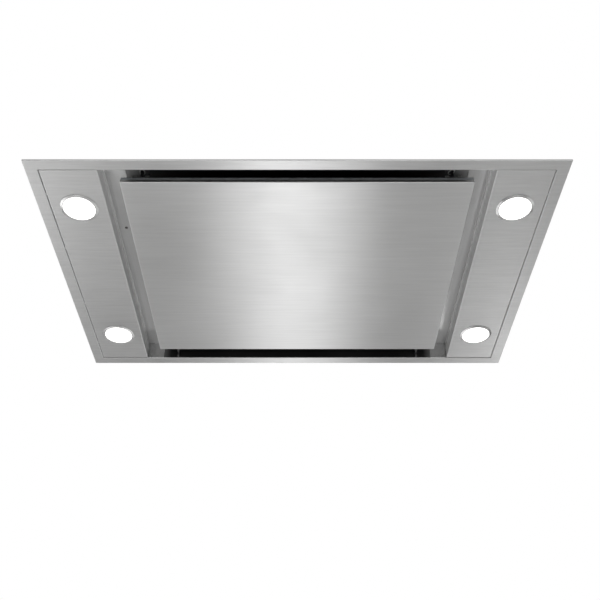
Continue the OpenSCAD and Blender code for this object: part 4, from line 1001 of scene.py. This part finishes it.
class HOOD_OT_eyelets(PieceOperator, bpy.types.Operator):
    """Model the rolled rims of the two stud slots"""

    bl_idname = "hood.eyelets"
    bl_label = "Stud eyelets"

    def execute(self, context):
        slot_run = (0, 4 * MM, 0)
        rim = half_rim("eyelet", clear_outer=True)
        bpy.ops.mesh.select_all(action="DESELECT")
        mesh = bmesh.from_edit_mesh(rim.data)
        for edge in mesh.edges:
            edge.select_set(edge.is_boundary)
        bmesh.update_edit_mesh(rim.data)
        bpy.ops.mesh.extrude_edges_move(TRANSFORM_OT_translate={"value": slot_run})
        bpy.ops.object.mode_set(mode="OBJECT")
        far = half_rim("eyelet_far", clear_inner=True)
        bpy.ops.mesh.select_all(action="SELECT")
        bpy.ops.transform.translate(value=slot_run)
        bpy.ops.object.mode_set(mode="OBJECT")
        make_active(rim)
        far.select_set(True)
        bpy.ops.object.join()
        bpy.ops.object.mode_set(mode="EDIT")
        close_up()
        low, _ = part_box("catch_plates")
        near_end = -240.5 * MM
        places = [((x * CATCH_X, near_end, low.z), UP, 1) for x in (-1, 1)]
        fit(spread_copies(rim, "stud_eyelets", places), "zinc_plated", "hood")
        return {"FINISHED"}


# Stage

def only_seen(tree, seen, otherwise):
    """Shows one shader to the camera, in reflections and through glass, another to the rest."""
    rays = put(tree, "LightPath")
    seen_by = maths(tree, "MAXIMUM", rays.outputs["Is Camera Ray"], rays.outputs["Is Glossy Ray"])
    seen_by = maths(tree, "MAXIMUM", seen_by, rays.outputs["Is Transmission Ray"])
    mix = put(tree, "MixShader")
    tree.links.new(seen_by, mix.inputs[0])
    tree.links.new(otherwise, mix.inputs[1])
    tree.links.new(seen, mix.inputs[2])
    return mix.outputs[0]


def ceiling_material():
    """White from the room and clear from above, so that the casing shows from the top and sides."""
    material = bpy.data.materials.new("white_ceiling")
    material.use_nodes = True
    tree = material.node_tree
    tree.nodes.clear()
    white = put(tree, "Emission", {"Color": (1, 1, 1, 1), "Strength": 1.0})
    matt = put(tree, "BsdfDiffuse", {"Color": (0.8, 0.8, 0.8, 1)})
    front = only_seen(tree, white.outputs[0], matt.outputs[0])
    clear = put(tree, "BsdfTransparent")
    mix = put(tree, "MixShader")
    tree.links.new(put(tree, "NewGeometry").outputs["Backfacing"], mix.inputs[0])
    tree.links.new(front, mix.inputs[1])
    join(tree, clear, mix, 0, 2)
    join(tree, mix, put(tree, "OutputMaterial"))
    return material


def pale_floor(rgb):
    base = linear(rgb)
    material, tree, shader = start_material("pale_floor", base, 0.0, 0.9)
    texture = effect(tree, fine_texture, Grains=60.0)
    drift = blend_colours(tree, texture.outputs["Drift"], tinted(base, 0.99), base)
    tree.links.new(drift, shader.inputs["Base Color"])
    return material


def white_world(fill_strength):
    """White where it is seen, and weaker as a light."""
    world = bpy.data.worlds.new("studio")
    bpy.context.scene.world = world
    world.use_nodes = True
    tree = world.node_tree
    tree.nodes.clear()
    white = put(tree, "Background", {"Color": (1, 1, 1, 1), "Strength": 1.0})
    fill = put(tree, "Background", {"Color": (1, 1, 1, 1), "Strength": fill_strength})
    out = put(tree, "OutputWorld")
    tree.links.new(only_seen(tree, white.outputs[0], fill.outputs[0]), out.inputs[0])


def softbox(name, place, size, power, aim=None):
    """A rectangular lamp, unseen itself, that shines at a point, or else straight up."""
    x, y, _ = place
    aim = aim or (x, y, 0)
    data = bpy.data.lights.new(name, "AREA")
    data.shape = "RECTANGLE"
    data.size, data.size_y = size
    data.energy = power
    lamp = bpy.data.objects.new(name, data)
    lamp.visible_camera = False
    bpy.context.scene.collection.objects.link(lamp)
    lamp.location = place
    lamp.rotation_euler = (Vector(aim) - Vector(place)).to_track_quat("-Z", "Y").to_euler()


def ring_plane(name, outer, inner, z):
    """A flat square with a rectangular opening, facing down."""
    plane = begin("plane", name, size=outer, location=(0, 0, z), rotation=(math.pi, 0, 0))
    bpy.ops.object.mode_set(mode="EDIT")
    bpy.ops.mesh.select_all(action="SELECT")
    bpy.ops.mesh.inset(thickness=outer / 2 - inner[1])
    mesh = bmesh.from_edit_mesh(plane.data)
    mesh.faces.ensure_lookup_table()
    middle = min(mesh.faces, key=lambda face: face.calc_center_median().length)
    for vert in middle.verts:
        vert.co.x = math.copysign(inner[0], vert.co.x)
    bmesh.ops.delete(mesh, geom=[middle], context="FACES")
    bmesh.update_edit_mesh(plane.data)
    bpy.ops.object.mode_set(mode="OBJECT")
    return plane


# Studio lamps: place, width and depth, power, and the point they shine at if not straight up.
# The strips are seen in the middle of the door, the left and right ones in the lamp panels.
LAMPS = {
    "near_strip": ((0, 1.5, -2.0), (0.7, 1.4), 3.7),
    "far_core": ((-0.03, 3.1, -2.0), (0.35, 1.6), 2.0),
    "far_strip": ((-0.02, 3.1, -2.05), (0.7, 1.6), 2.1),
    "core_strip": ((0, 2.2, -2.05), (0.30, 2.8), 1.8),
    "side_strip": ((-0.35, 1.5, -2.05), (0.3, 1.4), 0.75),
    "left_inner": ((-0.95, 0.8, -2.0), (0.5, 1.2), 0.85),
    "left_glow": ((-1.35, 1.35, -2.0), (0.8, 0.8), 1.35),
    "left_outer": ((-1.5, 1.95, -2.05), (0.4, 0.6), 1.0),
    "left_edge": ((-2.3, 3.0, -2.0), (0.5, 1.5), 1.6, (-0.3, 0, 0)),
    "right_glow": ((1.35, 2.6, -2.0), (0.9, 1.2), 0.7),
    "right_far": ((1.35, 3.4, -2.05), (0.8, 0.8), 3.2),
    "right_outer": ((1.65, 3.6, -2.0), (0.5, 1.0), 4.0),
    "edge_light": ((0, -0.1, -2.05), (2.6, 0.35), 4.5),
    "left_light": ((-1.9, 1.0, -1.9), (0.8, 2.0), 14.0, (0, 0, 0)),
    "right_light": ((1.9, 1.0, -1.9), (0.8, 2.0), 6.5, (0, 0, 0)),
    "front_light": ((0, -1.3, -2.0), (2.4, 0.8), 10.0, (0, 0, 0)),
    "sky_light": ((0.6, -0.8, 2.6), (2.4, 2.4), 22.0, (0, 0, 0.2)),
}


class HOOD_OT_stage(bpy.types.Operator):
    """Set up the camera, the ceiling, the floor, the world and the lamps"""

    bl_idname = "hood.stage"
    bl_label = "Stage"
    bl_options = {"REGISTER", "UNDO"}

    def execute(self, context):
        s = context.scene.hood_stage
        camera = bpy.data.objects.new("camera", bpy.data.cameras.new("camera"))
        context.scene.collection.objects.link(camera)
        camera.location = (0, -s.camera_back, -s.camera_drop)
        camera.rotation_euler = (math.pi / 2 + s.camera_pitch, 0, 0)
        camera.data.lens = s.lens
        camera.data.sensor_width = 36
        camera.data.shift_x = s.lens_shift
        context.scene.camera = camera
        _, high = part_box("trim_frame")
        under_frame = 4 * MM
        opening = (high.x - under_frame, high.y - under_frame)
        ceiling = ring_plane("ceiling", s.ceiling_span, opening, 0)
        ceiling.data.materials.append(ceiling_material())
        floor = begin("plane", "floor", size=s.floor_span, location=(0, 0, -s.floor_drop))
        floor.data.materials.append(pale_floor(s.floor_tone))
        white_world(s.fill_light)
        for name, row in LAMPS.items():
            softbox(name, *row)
        context.scene.view_settings.view_transform = "Standard"
        return {"FINISHED"}


OPERATORS = (
    HOOD_OT_trim, HOOD_OT_door, HOOD_OT_hinges, HOOD_OT_chamber, HOOD_OT_filters, HOOD_OT_lamps,
    HOOD_OT_casing, HOOD_OT_blower, HOOD_OT_outlet, HOOD_OT_controls, HOOD_OT_casing_screws,
    HOOD_OT_hinge_screws, HOOD_OT_control_screws, HOOD_OT_rivets, HOOD_OT_gland, HOOD_OT_studs,
    HOOD_OT_eyelets, HOOD_OT_stage,
)


class HOOD_PT_panel(bpy.types.Panel):
    """Lists the settings and the operators of the hood"""

    bl_idname = "HOOD_PT_panel"
    bl_label = "Range hood"
    bl_space_type = "VIEW_3D"
    bl_region_type = "UI"
    bl_category = "Range hood"

    def draw(self, context):
        for group in (context.scene.hood_finishes, context.scene.hood_stage):
            column = self.layout.column()
            for key in group.__annotations__:
                column.prop(group, key)
        for operator in OPERATORS:
            self.layout.operator(operator.bl_idname)


CLASSES = (HoodFinishes, HoodStage, *OPERATORS, HOOD_PT_panel)


def register():
    for cls in CLASSES:
        bpy.utils.register_class(cls)
    bpy.types.Scene.hood_finishes = bpy.props.PointerProperty(type=HoodFinishes)
    bpy.types.Scene.hood_stage = bpy.props.PointerProperty(type=HoodStage)


def unregister():
    del bpy.types.Scene.hood_finishes
    del bpy.types.Scene.hood_stage
    for cls in reversed(CLASSES):
        bpy.utils.unregister_class(cls)


def main():
    register()
    for operator in OPERATORS:
        area, name = operator.bl_idname.split(".")
        getattr(getattr(bpy.ops, area), name)()


if __name__ == "__main__":
    main()
